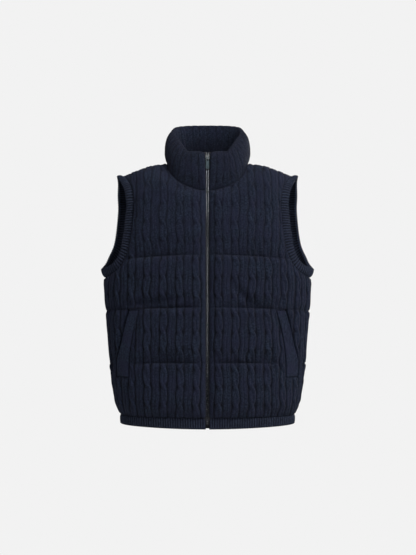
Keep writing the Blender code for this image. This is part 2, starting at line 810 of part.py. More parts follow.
def build_zip(collection, tape, metal):
    outer = ZIP_EDGE - GAP
    clear = CHAIN_HALF + GAP
    rows = [(h, BOX_HALF + GAP, outer) for h in (HEM_BOTTOM, BOX_TOP)]
    rows += [(h, clear, outer) for h in zip_heights(BOX_TOP + 0.001, SLIDER_LOW - 0.002)]
    rows += [(h, SLIDER_HALF + GAP, outer) for h in (SLIDER_LOW - GAP, SLIDER_HIGH + GAP)]
    rows += [(h, clear, outer) for h in (STOP_LOW + 0.0006, ZIP_TOP)]
    points, faces = flat_strip(rows, TAPE_THICK)
    for name, mirror in (("zip_tape_left", False), ("zip_tape_right", True)):
        add_mesh(name, collection, points, faces, tape, mirror)
    rows = [(h, -CHAIN_HALF, CHAIN_HALF) for h in zip_heights(BOX_TOP + GAP, SLIDER_LOW - GAP)]
    points, faces = flat_strip(rows, CHAIN_THICK)
    add_mesh("zip_chain", collection, points, faces, metal)
    for name, mirror in (("top_stop_left", False), ("top_stop_right", True)):
        points, faces = flat_strip([(STOP_LOW, 0.0012, CHAIN_HALF), (STOP_HIGH, 0.0012, CHAIN_HALF)],
                                   CHAIN_THICK)
        add_mesh(name, collection, points, faces, metal, mirror)


def rounded_box(name, collection, low, high, radius, surface):
    made = bmesh.new()
    bmesh.ops.create_cube(made, size=1.0)
    size = Vector(high) - Vector(low)
    centre = (Vector(high) + Vector(low)) / 2
    for vertex in made.verts:
        vertex.co = Vector(vertex.co[i] * size[i] for i in range(3)) + centre
    mesh = bpy.data.meshes.new(name)
    made.to_mesh(mesh)
    made.free()
    item = bpy.data.objects.new(name, mesh)
    mesh.materials.append(surface)
    collection.objects.link(item)
    bevel = item.modifiers.new("rounded", "BEVEL")
    bevel.width = radius
    bevel.segments = 2
    return item


def build_box_end(collection, metal):
    """The metal box at the bottom that holds the end of the zip."""
    y = zip_point(HEM_BOTTOM).y
    rounded_box("zip_box", collection, (-BOX_HALF, y - 0.0023, HEM_BOTTOM),
                (BOX_HALF, y + 0.0023, BOX_TOP), 0.0008, metal)


def slider_frame():
    """Where the pull tab's hinge axis crosses the zip's plane, and how far the zip leans back there."""
    low, high = zip_point(SLIDER_LOW), zip_point(SLIDER_HIGH)
    return zip_point(PIVOT_HEIGHT), atan2(high.y - low.y, high.z - low.z)


def build_slider(collection, cutters, metal):
    """Slider body with the bail that the pull tab hangs from."""
    origin, lean = slider_frame()
    slider = rounded_box("slider", collection,
                         (-SLIDER_HALF, -SLIDER_THICK / 2, SLIDER_LOW - PIVOT_HEIGHT),
                         (SLIDER_HALF, SLIDER_THICK / 2, SLIDER_HIGH - PIVOT_HEIGHT), 0.0012, metal)
    bail = rounded_box("bail_shape", cutters,
                       (-BAIL_HALF, -BAIL_OUTER, BAIL_LOW - PIVOT_HEIGHT),
                       (BAIL_HALF, 0.0, BAIL_HIGH - PIVOT_HEIGHT), 0.0004, metal)
    space = rounded_box("bail_space", cutters,
                        (-0.004, -BAIL_INNER, BAIL_LOW + BAIL_LEG - PIVOT_HEIGHT),
                        (0.004, -SLIDER_THICK / 2, BAIL_HIGH - BAIL_LEG - PIVOT_HEIGHT), 0.0002, metal)
    for item in (slider, bail, space):
        item.location = origin
        item.rotation_euler = (-lean, 0.0, 0.0)
    for item in (bail, space):
        item.hide_render = True
        item.display_type = "WIRE"
    for item, operation in ((bail, "UNION"), (space, "DIFFERENCE")):
        cut = slider.modifiers.new(operation.lower(), "BOOLEAN")
        cut.object = item
        cut.operation = operation


def circle_points(radius, centre, count):
    return [(radius * cos(2 * pi * i / count), centre + radius * sin(2 * pi * i / count))
            for i in range(count)]


def build_pull_tab(collection, metal):
    """A flat tab that hangs from the bail; its origin is on the hinge's axis."""
    curve = bpy.data.curves.new("pull_tab", "CURVE")
    curve.dimensions = "2D"
    curve.fill_mode = "BOTH"
    curve.extrude = TAB_THICK / 2
    corner = 0.0016
    outline = [(-TAB_HALF + corner / 2, TAB_BAR), (TAB_HALF - corner / 2, TAB_BAR),
               (TAB_HALF, TAB_BAR - corner / 2), (TAB_HALF, -TAB_SLOT_END - 0.002),
               (TAB_HALF_LOW, -TAB_LENGTH + corner), (TAB_HALF_LOW - corner, -TAB_LENGTH),
               (-TAB_HALF_LOW + corner, -TAB_LENGTH), (-TAB_HALF_LOW, -TAB_LENGTH + corner),
               (-TAB_HALF, -TAB_SLOT_END - 0.002), (-TAB_HALF, TAB_BAR - corner / 2)]
    slot = [(-TAB_SLOT_HALF, -TAB_BAR), (TAB_SLOT_HALF, -TAB_BAR),
            (TAB_SLOT_HALF, -TAB_SLOT_END), (-TAB_SLOT_HALF, -TAB_SLOT_END)]
    hole = circle_points(TAB_HOLE, -TAB_LENGTH + 0.0045, 12)
    for shape in (outline, slot, hole):
        spline = curve.splines.new("POLY")
        spline.points.add(len(shape) - 1)
        for point, (x, z) in zip(spline.points, shape):
            point.co = (x, z, 0.0, 1.0)
        spline.use_cyclic_u = True
    tab = bpy.data.objects.new("pull_tab", curve)
    curve.materials.append(metal)
    origin, lean = slider_frame()
    tab.rotation_euler = (pi / 2 - lean, 0.0, 0.0)
    tab.location = origin + Vector((0.0, -cos(lean), sin(lean))) * PIVOT_OUT
    collection.objects.link(tab)


def main():
    for item in list(bpy.data.objects):
        bpy.data.objects.remove(item)
    vest = bpy.data.collections.new("knit_vest")
    cutters = bpy.data.collections.new("cutters")
    bpy.context.scene.collection.children.link(vest)
    bpy.context.scene.collection.children.link(cutters)
    knit = material("cable_knit", (0.013, 0.015, 0.027), 0.85)
    rib = material("rib_knit", (0.010, 0.011, 0.020), 0.85)
    plain = material("plain_knit", (0.013, 0.015, 0.026), 0.85)
    tape = material("zip_tape", (0.006, 0.007, 0.012), 0.75)
    metal = material("dark_nickel", (0.35, 0.36, 0.37), 0.30, 1.0)
    build_fronts(vest, knit)
    build_back(vest, knit)
    build_collar(vest, knit)
    build_arm_ribs(vest, rib)
    build_hem_rib(vest, rib)
    build_welts(vest, plain)
    build_zip(vest, tape, metal)
    build_box_end(vest, metal)
    build_slider(vest, cutters, metal)
    build_pull_tab(vest, metal)


main()
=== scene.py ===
import math

import bmesh
import bpy
import numpy as np
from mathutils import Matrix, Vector
from mathutils.geometry import delaunay_2d_cdt


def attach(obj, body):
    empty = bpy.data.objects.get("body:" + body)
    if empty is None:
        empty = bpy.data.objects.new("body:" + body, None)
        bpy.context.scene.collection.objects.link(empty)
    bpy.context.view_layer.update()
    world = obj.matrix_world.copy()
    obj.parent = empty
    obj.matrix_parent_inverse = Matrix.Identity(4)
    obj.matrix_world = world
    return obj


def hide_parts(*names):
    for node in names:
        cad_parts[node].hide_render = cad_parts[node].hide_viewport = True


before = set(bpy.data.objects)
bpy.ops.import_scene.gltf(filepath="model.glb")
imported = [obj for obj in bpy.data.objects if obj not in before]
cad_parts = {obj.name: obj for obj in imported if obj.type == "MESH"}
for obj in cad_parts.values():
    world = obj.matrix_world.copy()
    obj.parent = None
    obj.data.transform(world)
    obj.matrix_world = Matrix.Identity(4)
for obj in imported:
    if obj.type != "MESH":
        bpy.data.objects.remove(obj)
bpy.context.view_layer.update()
print("frame loaded:", len(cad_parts), "nodes")

# sizes in metres; +X is the wearer's left, -Y the front, +Z up, origin between the shoulders
body = {
    "hemBottom": -0.625,
    "hemSeam": -0.601,
    "neckFront": -0.073,
    "sideCap": -0.100,          # the width stays the same above this
    "shoulderRound": 0.070,
    "sectionPower": 2.4,
    "zipEdge": 0.0050,          # the knit folds in over the zip tape up to here
    "zipLip": 0.0011,           # and leans this far towards the teeth
    "lipReach": 0.0040,
    "seamOut": 0.0020,          # cloth outside the seam surface
    "wallIn": 0.0035,           # and inside it
}
# height, half width, front depth, back depth
sections = (
    (-0.640, 0.2035, 0.0990, 0.0940),
    (-0.625, 0.2035, 0.0990, 0.0940),
    (-0.601, 0.2042, 0.1010, 0.0960),
    (-0.590, 0.2075, 0.1070, 0.1020),
    (-0.569, 0.2130, 0.1120, 0.1070),
    (-0.530, 0.2197, 0.1155, 0.1105),
    (-0.478, 0.2258, 0.1170, 0.1120),
    (-0.425, 0.2297, 0.1180, 0.1135),
    (-0.355, 0.2358, 0.1190, 0.1150),
    (-0.305, 0.2388, 0.1190, 0.1170),
    (-0.260, 0.2420, 0.1185, 0.1190),
    (-0.200, 0.2400, 0.1170, 0.1200),
    (-0.150, 0.2335, 0.1135, 0.1190),
    (-0.100, 0.2265, 0.1070, 0.1140),
    (-0.060, 0.2265, 0.0985, 0.1030),
    (-0.020, 0.2265, 0.0880, 0.0900),
    (0.060, 0.2265, 0.0700, 0.0680),
)
# across, height of the shoulder line
shoulderLine = (
    (-0.010, 0.0350), (0.000, 0.0350), (0.060, 0.0150), (0.100, -0.0070), (0.130, -0.0125),
    (0.150, -0.0178), (0.170, -0.0253), (0.195, -0.0340), (0.212, -0.0372), (0.240, -0.0440),
)
# armhole opening: distance from the side line along the cloth (minus is the front), height
armhole = (
    (-0.0460, 0.0000), (-0.0470, -0.0120), (-0.0600, -0.0380), (-0.0775, -0.0750),
    (-0.0845, -0.1150), (-0.0905, -0.1600), (-0.0900, -0.1950), (-0.0845, -0.2170),
    (-0.0730, -0.2350), (-0.0550, -0.2460), (-0.0310, -0.2520), (0.0000, -0.2535),
    (0.0220, -0.2460), (0.0380, -0.2310), (0.0525, -0.2110), (0.0605, -0.1870),
    (0.0600, -0.1470), (0.0550, -0.1100), (0.0510, -0.0750), (0.0500, -0.0380),
    (0.0465, -0.0120), (0.0460, 0.0000),
)
# neck seam: distance along the cloth from the centre line, height
neckFrontEdge = (
    (0.0050, -0.0730), (0.0180, -0.0722), (0.0340, -0.0675), (0.0560, -0.0590),
    (0.0750, -0.0450), (0.0870, -0.0230), (0.0930, 0.0060), (0.0960, 0.0350),
)
neckBackEdge = (
    (0.0000, -0.0094), (0.0300, -0.0085), (0.0600, -0.0035), (0.0780, 0.0070),
    (0.0890, 0.0200), (0.0960, 0.0350),
)


# a smooth curve f(x) through one column of a table, over its first column; works on whole arrays
def tableCurve(rows, column):
    keys = np.array([row[0] for row in rows], float)
    values = np.array([row[column] for row in rows], float)
    slopes = np.diff(values) / np.diff(keys)
    tangents = np.zeros(len(keys))
    tangents[0], tangents[-1] = slopes[0], slopes[-1]
    for i in range(1, len(keys) - 1):
        if slopes[i - 1] * slopes[i] > 0:
            tangents[i] = 2 * slopes[i - 1] * slopes[i] / (slopes[i - 1] + slopes[i])

    def curve(x):
        x = np.asarray(x, float)
        i = np.clip(np.searchsorted(keys, x, side="right") - 1, 0, len(keys) - 2)
        h = keys[i + 1] - keys[i]
        t = np.clip((x - keys[i]) / h, 0, 1)
        return ((1 + 2 * t) * (1 - t) ** 2 * values[i] + t * (1 - t) ** 2 * h * tangents[i]
                + t * t * (3 - 2 * t) * values[i + 1] - t * t * (1 - t) * h * tangents[i + 1])

    return curve


def softStep(x):
    x = np.clip(x, 0, 1)
    return x * x * (3 - 2 * x)


# length run from the first point to each point
def runLengths(points):
    return np.concatenate([[0], np.cumsum(np.linalg.norm(np.diff(points, axis=0), axis=1))])


def evenLine(points, spacing):
    points = np.array(points, float)
    lengths = runLengths(points)
    count = max(1, int(round(lengths[-1] / spacing)))
    target = np.linspace(0, lengths[-1], count + 1)
    return np.stack([np.interp(target, lengths, points[:, c]) for c in (0, 1)], 1)


# points a line is worked out with
lineDetail = {"curveParts": 12, "section": 241, "side": 150, "shoulder": 40, "centre": 240}


def smoothLine(rows, spacing):
    rows = np.array(rows, float)
    dense = []
    for i in range(len(rows) - 1):
        p0, p1, p2, p3 = rows[max(i - 1, 0)], rows[i], rows[i + 1], rows[min(i + 2, len(rows) - 1)]
        for t in np.arange(lineDetail["curveParts"]) / lineDetail["curveParts"]:
            dense.append(0.5 * (2 * p1 + (p2 - p0) * t + (2 * p0 - 5 * p1 + 4 * p2 - p3) * t * t
                                + (3 * p1 - p0 - 3 * p2 + p3) * t ** 3))
    dense.append(rows[-1])
    return evenLine(dense, spacing)


def unit(v):
    return v / np.maximum(np.linalg.norm(v, axis=-1, keepdims=True), 1e-12)


# direction of a line at each of its points
def lineDirection(points):
    padded = np.vstack([points[:1], points, points[-1:]])
    return unit(padded[2:] - padded[:-2])


def leftOf(direction):
    return np.stack([-direction[:, 1], direction[:, 0]], 1)


def movedLine(points, distance):
    return points + leftOf(lineDirection(points)) * distance


# the line moved sideways, without the loops this makes in tight bends, where it comes too near itself
def offsetLine(points, distance, spacing):
    moved = movedLine(points, distance)
    nearest = np.array([np.min(np.hypot(*(points - p).T)) for p in moved])
    tooNear = abs(distance) * 0.992
    return evenLine(moved[nearest > tooNear], spacing)


# the body surface that all the cloth lies on
stations = {"low": -0.640, "step": 0.010, "count": 71, "quarter": 48}
widthAt, frontDepthAt, backDepthAt = (tableCurve(sections, c) for c in (1, 2, 3))
shoulderAt = tableCurve(shoulderLine, 1)


def quarterSection(halfWidth, depth):
    angle = np.linspace(0, math.pi / 2, lineDetail["section"])
    power = 2 / body["sectionPower"]
    x = halfWidth * np.sin(angle) ** power
    y = depth * np.clip(np.cos(angle), 0, 1) ** power
    lengths = runLengths(np.stack([x, y], 1))
    target = np.linspace(0, lengths[-1], stations["quarter"] + 1)
    return np.interp(target, lengths, x), np.interp(target, lengths, y) / depth, lengths[-1]


# quarter sections at every station, front and back: across, share of the depth, length along the cloth
sectionX = np.zeros((2, stations["count"], stations["quarter"] + 1))
sectionRatio = np.zeros_like(sectionX)
sectionLength = np.zeros((2, stations["count"]))
for index in range(stations["count"]):
    level = stations["low"] + index * stations["step"]
    for side, depthAt in enumerate((frontDepthAt, backDepthAt)):
        made = quarterSection(float(widthAt(level)), float(depthAt(level)))
        sectionX[side, index], sectionRatio[side, index], sectionLength[side, index] = made


def stationAt(height):
    place = (np.minimum(height, body["sideCap"]) - stations["low"]) / stations["step"]
    i = np.clip(np.floor(place).astype(int), 0, stations["count"] - 2)
    return i, place - i


def quarterLength(height, back):
    i, t = stationAt(np.asarray(height, float))
    return sectionLength[back, i] * (1 - t) + sectionLength[back, i + 1] * t


def acrossAndRatio(distance, height, back):
    i, t = stationAt(height)
    place = distance / quarterLength(height, back) * stations["quarter"]
    k = np.clip(np.floor(place).astype(int), 0, stations["quarter"] - 1)
    v = place - k
    result = []
    for table in (sectionX, sectionRatio):
        low = table[back, i, k] * (1 - v) + table[back, i, k + 1] * v
        high = table[back, i + 1, k] * (1 - v) + table[back, i + 1, k + 1] * v
        result.append(low * (1 - t) + high * t)
    return result


# points at distances around from the centre front to the centre back, on the +X half
def bodyPoint(around, height):
    around, height = np.broadcast_arrays(np.asarray(around, float), np.asarray(height, float))
    frontLength = quarterLength(height, 0)
    back = (around > frontLength).astype(int)
    distance = np.where(back == 1, frontLength + quarterLength(height, 1) - around, around)
    mirror = np.where(distance < 0, -1.0, 1.0)
    x, ratio = acrossAndRatio(np.abs(distance), height, back)
    roundStart = shoulderAt(x) - body["shoulderRound"]
    turn = np.clip((height - roundStart) / body["shoulderRound"], 0, math.pi / 2)
    z = np.where(height > roundStart, roundStart + body["shoulderRound"] * np.sin(turn), height)
    depth = np.where(back == 1, backDepthAt(z), -frontDepthAt(z)) * ratio * np.cos(turn)
    return np.stack([x * mirror, depth, z], -1)


def bodyNormal(around, height, step=0.0015):
    along = bodyPoint(around + step, height) - bodyPoint(around - step, height)
    up = bodyPoint(around, height) - bodyPoint(around, height - step)
    return unit(np.cross(along, up))


def topHeight(x):
    return shoulderAt(x) - body["shoulderRound"] + body["shoulderRound"] * math.pi / 2


# a place on the wearer's left front; the edge leans over the tape towards the teeth
def frontPlace(around, height):
    lean = np.exp(-np.maximum(around - body["zipEdge"], 0) / body["lipReach"])
    around = around - body["zipLip"] * lean
    return bodyPoint(around, height), bodyNormal(around, height)


def backPlace(fromCentre, height):
    full = quarterLength(height, 0) + quarterLength(height, 1)
    flip = np.ones(np.shape(fromCentre) + (3,))
    flip[..., 0] = np.where(np.asarray(fromCentre) < 0, -1.0, 1.0)
    around = full - np.abs(fromCentre)
    return bodyPoint(around, height) * flip, bodyNormal(around, height) * flip


# knit and quilting, as heights above the seam surface
knit = {
    "columnStart": 0.0157,      # plain band beside the zip ends here
    "columnPitch": 0.0188,
    "cableRepeat": 0.042,
    "crossShare": 0.80,         # share of a repeat that a crossing takes
    "strandReach": 0.0044,      # strands lie this far each side of the cable's middle
    "strandHalf": 0.0048,
    "overWider": 0.12,          # the strand that crosses over is wider and higher by these shares
    "overHigher": 0.24,
    "underLower": 0.55,         # and the one under it lower
    "crossUneven": 0.07,
    "cableHeight": 0.0031,
    "plainHeight": 0.0024,
    "bandHeight": 0.0026,
    "bandFade": 0.003,
    "gutterWidth": 0.0032,      # cables sink to nothing this near a column's edge
    "plainHalf": 0.0092,
    "plainWaver": 0.10,
    "splitDepth": 0.55,         # a plain column is a pair of ribs, with this share of its height between
    "splitHalf": 0.0011,
    "chestShare": 0.74,         # the knit is drawn flatter over the chest
    "fullShare": 1.08,          # and stands fuller below it
    "sway": 0.0021,             # how far the columns stray sideways
    "swayWaves": ((41, 23, 1.0, 0.6), (97, -61, 2.3, 0.4)),      # turns up and across, seed, share
}
knit["backStart"] = -20.5 * knit["columnPitch"]      # one column runs down the middle of the back
quilt = {
    "puff": 0.0122,
    "shoulderEdge": 0.050,
    "sideFade": 0.70,
    "lowChannel": 0.85,         # the lowest channel is less full
    "pinchWidth": 0.030,
    "underside": 0.30,          # share of a channel's height that curls in to the seam under it
    "underRound": 0.75,
    "topside": 0.13,
    "topRound": 0.80,
    "crown": 0.10,              # how much higher a channel is in its middle
    "foldAbove": 0.006,         # the fold, with its painted shade, reaches this far above a seam
    "foldBelow": 0.004,
    "shade": 0.42,              # painted shade on the cloth that turns under above a seam
    "shadeReach": 0.026,
    "pucker": 0.0022,           # little gathers along the quilting seams
    "puckerPitch": 0.0215,
    "puckerAbove": 0.020,
    "puckerBelow": 0.013,
}
# how firmly each quilting seam is pulled in, at these distances from the centre line
seamPlaces = (0.010, 0.050, 0.100, 0.160, 0.230)
seamPull = {
    "front_left": (
        (0.70, 0.90, 0.95, 0.75, 0.45),
        (0.60, 0.70, 0.90, 0.95, 0.60),
        (0.50, 0.95, 0.95, 0.50, 0.25),
    ),
    "front_right": (
        (0.55, 0.80, 1.00, 0.85, 0.45),
        (0.50, 0.90, 1.00, 1.00, 0.65),
        (0.45, 0.85, 1.00, 0.60, 0.25),
    ),
    "back": (
        (0.85, 0.90, 0.80, 0.90, 0.45),
        (0.90, 0.75, 0.95, 1.00, 0.60),
        (0.80, 0.95, 0.85, 0.65, 0.25),
    ),
}
# height at the centre, how much lower at the side
quiltSeams = ((-0.2215, 0.0240), (-0.3430, 0.0130), (-0.4706, 0.0075))
# pocket welt: height, then its inner and outer edge as distances from the centre front
weltRows = ((-0.5060, 0.1840, 0.2185), (-0.4717, 0.1830, 0.2165), (-0.4300, 0.1780, 0.2040),
            (-0.3520, 0.1590, 0.1820))
welt = {
    "lift": 0.0080,             # the welt lies this far out, over a smooth place in the padding
    "thick": 0.0030,
    "margin": 0.006,
    "blend": 0.014,
    "opening": 0.0090,          # depth of the pocket's mouth along the outer edge
    "mouthFrom": 0.0016,
    "mouthWidth": 0.0022,
    "mouthEnds": 0.006,
    # painted shade in the pocket's mouth, and on the knit under the welt
    "mouthShade": 1.9,
    "underShade": 0.35,
    "knitFrom": 0.0008,         # the knit is plain under the welt up to here
    "knitBlend": 0.0030,
    "cut": (0.0335, 0.157),
}
weltInner, weltOuter = tableCurve(weltRows, 1), tableCurve(weltRows, 2)


def quiltHeight(row, fromCentre, height):
    share = np.minimum(1, np.abs(fromCentre) / quarterLength(height, 0))
    return row[0] - row[1] * share * share


# share of the padding's full height; a seam that is pulled in less leaves more of it
def puffAt(fromCentre, height, pulls):
    edges = [np.full_like(height, quilt["shoulderEdge"])]
    edges += [quiltHeight(row, fromCentre, height) for row in quiltSeams]
    edges += [np.full_like(height, body["hemSeam"])]
    full = np.ones_like(height)
    held = [full] + [np.interp(np.abs(fromCentre), seamPlaces, row) for row in pulls] + [full]
    share = np.zeros_like(height)
    left = np.zeros_like(height)
    fullness = np.where(height < edges[-2], quilt["lowChannel"], 1.0)
    for high, low, pullHigh, pullLow in zip(edges, edges[1:], held, held[1:]):
        here = (height < high) & (height >= low)
        part = (height - low) / (high - low)
        share = np.where(here, part, share)
        left = np.where(here, (1 - pullHigh) * part + (1 - pullLow) * (1 - part), left)
    toSide = np.minimum(1, np.abs(fromCentre) / quarterLength(height, 0))
    under = np.sin(math.pi / 2 * np.clip(share / quilt["underside"], 0, 1)) ** quilt["underRound"]
    above = np.sin(math.pi / 2 * np.clip((1 - share) / quilt["topside"], 0, 1)) ** quilt["topRound"]
    crown = 1 - quilt["crown"] * (1 - np.sin(math.pi * np.clip(share, 0, 1) ** 0.8))
    rounded = under * above * crown
    return (rounded + (1 - rounded) * left) * fullness * (1 - quilt["sideFade"] * toSide ** 3)


# 1 in the fold of a quilting seam, 0 clear of it, with painted shade reaching higher up over the cloth above
# it; the knit is flattened there and its colour takes painted shade
def seamFoldShade(fromCentre, height, pulls):
    folds = []
    for row, pull in zip(quiltSeams, pulls):
        gap = height - quiltHeight(row, fromCentre, height)
        above = 1 - softStep(gap / quilt["foldAbove"])
        turned = quilt["shade"] * (1 - softStep(gap / quilt["shadeReach"]))
        below = 1 - softStep(-gap / quilt["foldBelow"])
        shade = np.where(gap > 0, np.maximum(above, turned), below)
        folds.append(shade * np.interp(np.abs(fromCentre), seamPlaces, pull) ** 2)
    return np.max(folds, axis=0)


# short gathers that run out of the quilting seams
def puckers(fromCentre, height, seed):
    made = np.zeros_like(height)
    for index, row in enumerate(quiltSeams):
        gap = height - quiltHeight(row, fromCentre, height)
        along = fromCentre * 2 * math.pi / quilt["puckerPitch"] + seed * 3 + index * 1.9
        uneven = 0.6 + 0.4 * np.sin(along * 0.23 + index)
        wave = np.sin(along + 1.1 * np.sin(along * 0.37 + seed) + gap * 40) * uneven
        reach = np.where(gap > 0, quilt["puckerAbove"], quilt["puckerBelow"])
        clear = np.abs(gap) - quilt["foldAbove"]
        made += wave * np.exp(-(clear / reach) ** 2) * softStep(np.abs(gap) / quilt["foldBelow"])
    return quilt["pucker"] * made


# distance from the centre line with the knit's small wander
def swayed(fromCentre, height, seed, mirrored):
    wander = sum(np.sin(height * up + fromCentre * across + seed * turn) * share
                 for up, across, turn, share in knit["swayWaves"])
    return (np.abs(fromCentre) if mirrored else fromCentre) + knit["sway"] * wander


def strandHeight(offset, half):
    return np.sqrt(np.clip(1 - (offset / half) ** 2, 0, 1))


# two strands that swap sides once a repeat, always the upper left one over the other
def cableHeight(offset, height, column, seed):
    phase = height / knit["cableRepeat"] + np.sin(column * 12.9 + seed) * knit["crossUneven"]
    part = 1 - (phase - np.floor(phase))
    crossing = softStep((part - 0.5) / knit["crossShare"] + 0.5)
    over = np.sin(math.pi * crossing)
    place = knit["strandReach"] * (2 * crossing - 1)
    wide = knit["strandHalf"] * (1 + knit["overWider"] * over)
    front = strandHeight(offset - place, wide) * (1 + knit["overHigher"] * over)
    behind = strandHeight(offset + place, knit["strandHalf"]) * (1 - knit["underLower"] * over)
    return np.maximum(front, behind), np.where(front >= behind, offset - place, offset + place)


# height of the columns and each point's place in its strand; imageSide is +1 where right is outwards
def knitHeight(fromCentre, height, imageSide, seed, mirrored=True):
    distance = swayed(fromCentre, height, seed, mirrored)
    start = knit["columnStart"] if mirrored else knit["backStart"]
    place = (distance - start) / knit["columnPitch"]
    column = np.floor(place)
    across = place - column
    offset = (across - 0.5) * knit["columnPitch"] * imageSide
    gutter = softStep(np.minimum(across, 1 - across) * knit["columnPitch"] / knit["gutterWidth"])
    turns = height / knit["cableRepeat"] * 2 * math.pi
    plainHalf = knit["plainHalf"] * (1 + knit["plainWaver"] * np.sin(turns + column * 1.7))
    split = 1 - knit["splitDepth"] * np.exp(-(offset / knit["splitHalf"]) ** 2)
    plain = knit["plainHeight"] * strandHeight(offset, plainHalf) ** 0.8 * split
    strands, shifted = cableHeight(offset, height, column, seed)
    raised = np.where(column % 2 == 1, plain, knit["cableHeight"] * strands * gutter)
    stitched = np.where(column % 2 == 1, offset, shifted)
    band = knit["bandHeight"] * softStep(-place * knit["columnPitch"] / knit["bandFade"])
    return np.where(place < 0, band, raised), np.where(place < 0, distance, stitched)


# where the padding is smooth, where the knit is plain, and the pocket's mouth
def weltMask(distance, height):
    middle = (weltInner(height) + weltOuter(height)) / 2
    half = (weltOuter(height) - weltInner(height)) / 2
    sideways = np.abs(distance - middle) - half
    endways = np.maximum(height - weltRows[-1][0], weltRows[0][0] - height)
    beyond = np.maximum(sideways, endways)
    smooth = 1 - softStep((beyond - welt["margin"]) / welt["blend"])
    plain = 1 - softStep((beyond - welt["knitFrom"]) / welt["knitBlend"])
    past = distance - weltOuter(height) - welt["mouthFrom"]
    mouth = np.exp(-(past / welt["mouthWidth"]) ** 2) * softStep(1 - endways / welt["mouthEnds"])
    return smooth, plain, mouth


# soft creases, listed: start and end (distance from the centre, height), width, depth
creaseBow = 0.004               # how far a crease bends downwards
creaseEnds = 0.35               # share of its depth at the ends
creases = {
    "front_left": (
        ((0.055, -0.292), (0.116, -0.343), 0.011, 0.0085),
        ((0.030, -0.300), (0.090, -0.338), 0.014, 0.0020),
        ((0.175, -0.268), (0.120, -0.312), 0.016, 0.0025),
        ((0.205, -0.300), (0.150, -0.338), 0.014, 0.0028),
        ((0.060, -0.440), (0.150, -0.466), 0.013, 0.0030),
        ((0.090, -0.560), (0.180, -0.596), 0.013, 0.0028),
        ((0.100, -0.075), (0.150, -0.130), 0.020, 0.0018),
        ((0.040, -0.180), (0.120, -0.215), 0.016, 0.0018),
    ),
    "front_right": (
        ((0.130, -0.030), (0.152, -0.078), 0.008, 0.0045),
        ((0.050, -0.318), (0.185, -0.336), 0.010, 0.0060),
        ((0.185, -0.262), (0.150, -0.310), 0.013, 0.0028),
        ((0.070, -0.310), (0.140, -0.328), 0.014, 0.0020),
        ((0.050, -0.448), (0.140, -0.464), 0.012, 0.0030),
        ((0.140, -0.420), (0.090, -0.455), 0.013, 0.0020),
        ((0.050, -0.570), (0.130, -0.594), 0.013, 0.0025),
        ((0.060, -0.190), (0.140, -0.212), 0.014, 0.0022),
    ),
    "back": (
        ((-0.150, -0.290), (-0.060, -0.336), 0.014, 0.0035),
        ((0.040, -0.300), (0.130, -0.334), 0.012, 0.0040),
        ((-0.060, -0.440), (0.040, -0.462), 0.013, 0.0028),
        ((0.180, -0.425), (0.110, -0.460), 0.013, 0.0030),
        ((-0.170, -0.560), (-0.080, -0.594), 0.013, 0.0026),
        ((0.060, -0.565), (0.150, -0.592), 0.012, 0.0026),
        ((-0.130, -0.180), (-0.040, -0.212), 0.014, 0.0022),
        ((0.170, -0.060), (0.120, -0.120), 0.018, 0.0022),
        ((-0.165, -0.070), (-0.110, -0.135), 0.018, 0.0020),
    ),
}


def creaseDepth(rows, across, height):
    depth = np.zeros_like(height)
    for (x0, h0), (x1, h1), width, deep in rows:
        dx, dh = x1 - x0, h1 - h0
        t = np.clip(((across - x0) * dx + (height - h0) * dh) / (dx * dx + dh * dh), 0, 1)
        bow = creaseBow * np.sin(math.pi * t)
        gap = np.hypot(across - x0 - dx * t, height - h0 - dh * t + bow)
        along = creaseEnds + (1 - creaseEnds) * np.sin(math.pi * np.clip(t, 0.02, 0.98))
        depth += deep * np.exp(-(gap / width) ** 2) * along
    return depth


# a mesh with its place in the cloth's pattern and the painted shade at each point
def meshObject(name, points, faces, patterns=None, shadeTints=None, smooth=True):
    mesh = bpy.data.meshes.new(name)
    mesh.from_pydata([tuple(p) for p in points], [], faces)
    if patterns is not None:
        loops = np.zeros(len(mesh.loops), np.int32)
        mesh.loops.foreach_get("vertex_index", loops)
        layer = mesh.uv_layers.new(name="pattern")
        layer.data.foreach_set("uv", np.asarray(patterns, np.float32)[loops].ravel())
    if shadeTints is not None:
        # painted shade, kept on the points for the knit material
        layer = mesh.attributes.new("paintedShade", "FLOAT", "POINT")
        layer.data.foreach_set("value", np.asarray(shadeTints, np.float32))
    mesh.polygons.foreach_set("use_smooth", [smooth] * len(mesh.polygons))
    mesh.update()
    made = bpy.data.objects.new(name, mesh)
    bpy.context.scene.collection.objects.link(made)
    return made


# turns every face outwards
def faceOut(item):
    made = bmesh.new()
    made.from_mesh(item.data)
    bmesh.ops.recalc_face_normals(made, faces=made.faces)
    made.to_mesh(item.data)
    made.free()


# triangles that fill an outline through its inner points
def fillOutline(outline, inner):
    count = len(outline)
    edges = [(i, (i + 1) % count) for i in range(count)]
    points = [Vector(p) for p in np.vstack([outline, inner])]
    found, _, faces, origin, _, _ = delaunay_2d_cdt(points, edges, [list(range(count))], 1, 1e-7)
    renumber = [origin[i][0] for i in range(len(found))]
    return [[renumber[i] for i in face] for face in faces]


# distance from each pattern point to the closed outline, minus outside it
def outlineDistance(points, outline):
    ends = np.roll(outline, -1, axis=0)
    runs = ends - outline
    squares = np.maximum((runs ** 2).sum(1), 1e-18)
    best = np.full(len(points), 9.0)
    crossings = np.zeros(len(points), int)
    for start, end, run, square in zip(outline, ends, runs, squares):
        away = points - start
        t = np.clip((away @ run) / square, 0, 1)
        best = np.minimum(best, np.hypot(away[:, 0] - run[0] * t, away[:, 1] - run[1] * t))
        if start[1] != end[1]:
            spans = (start[1] > points[:, 1]) != (end[1] > points[:, 1])
            crossings += spans & (points[:, 0] < run[0] * (points[:, 1] - start[1]) / run[1] + start[0])
    return np.where(crossings % 2 == 1, best, -best)


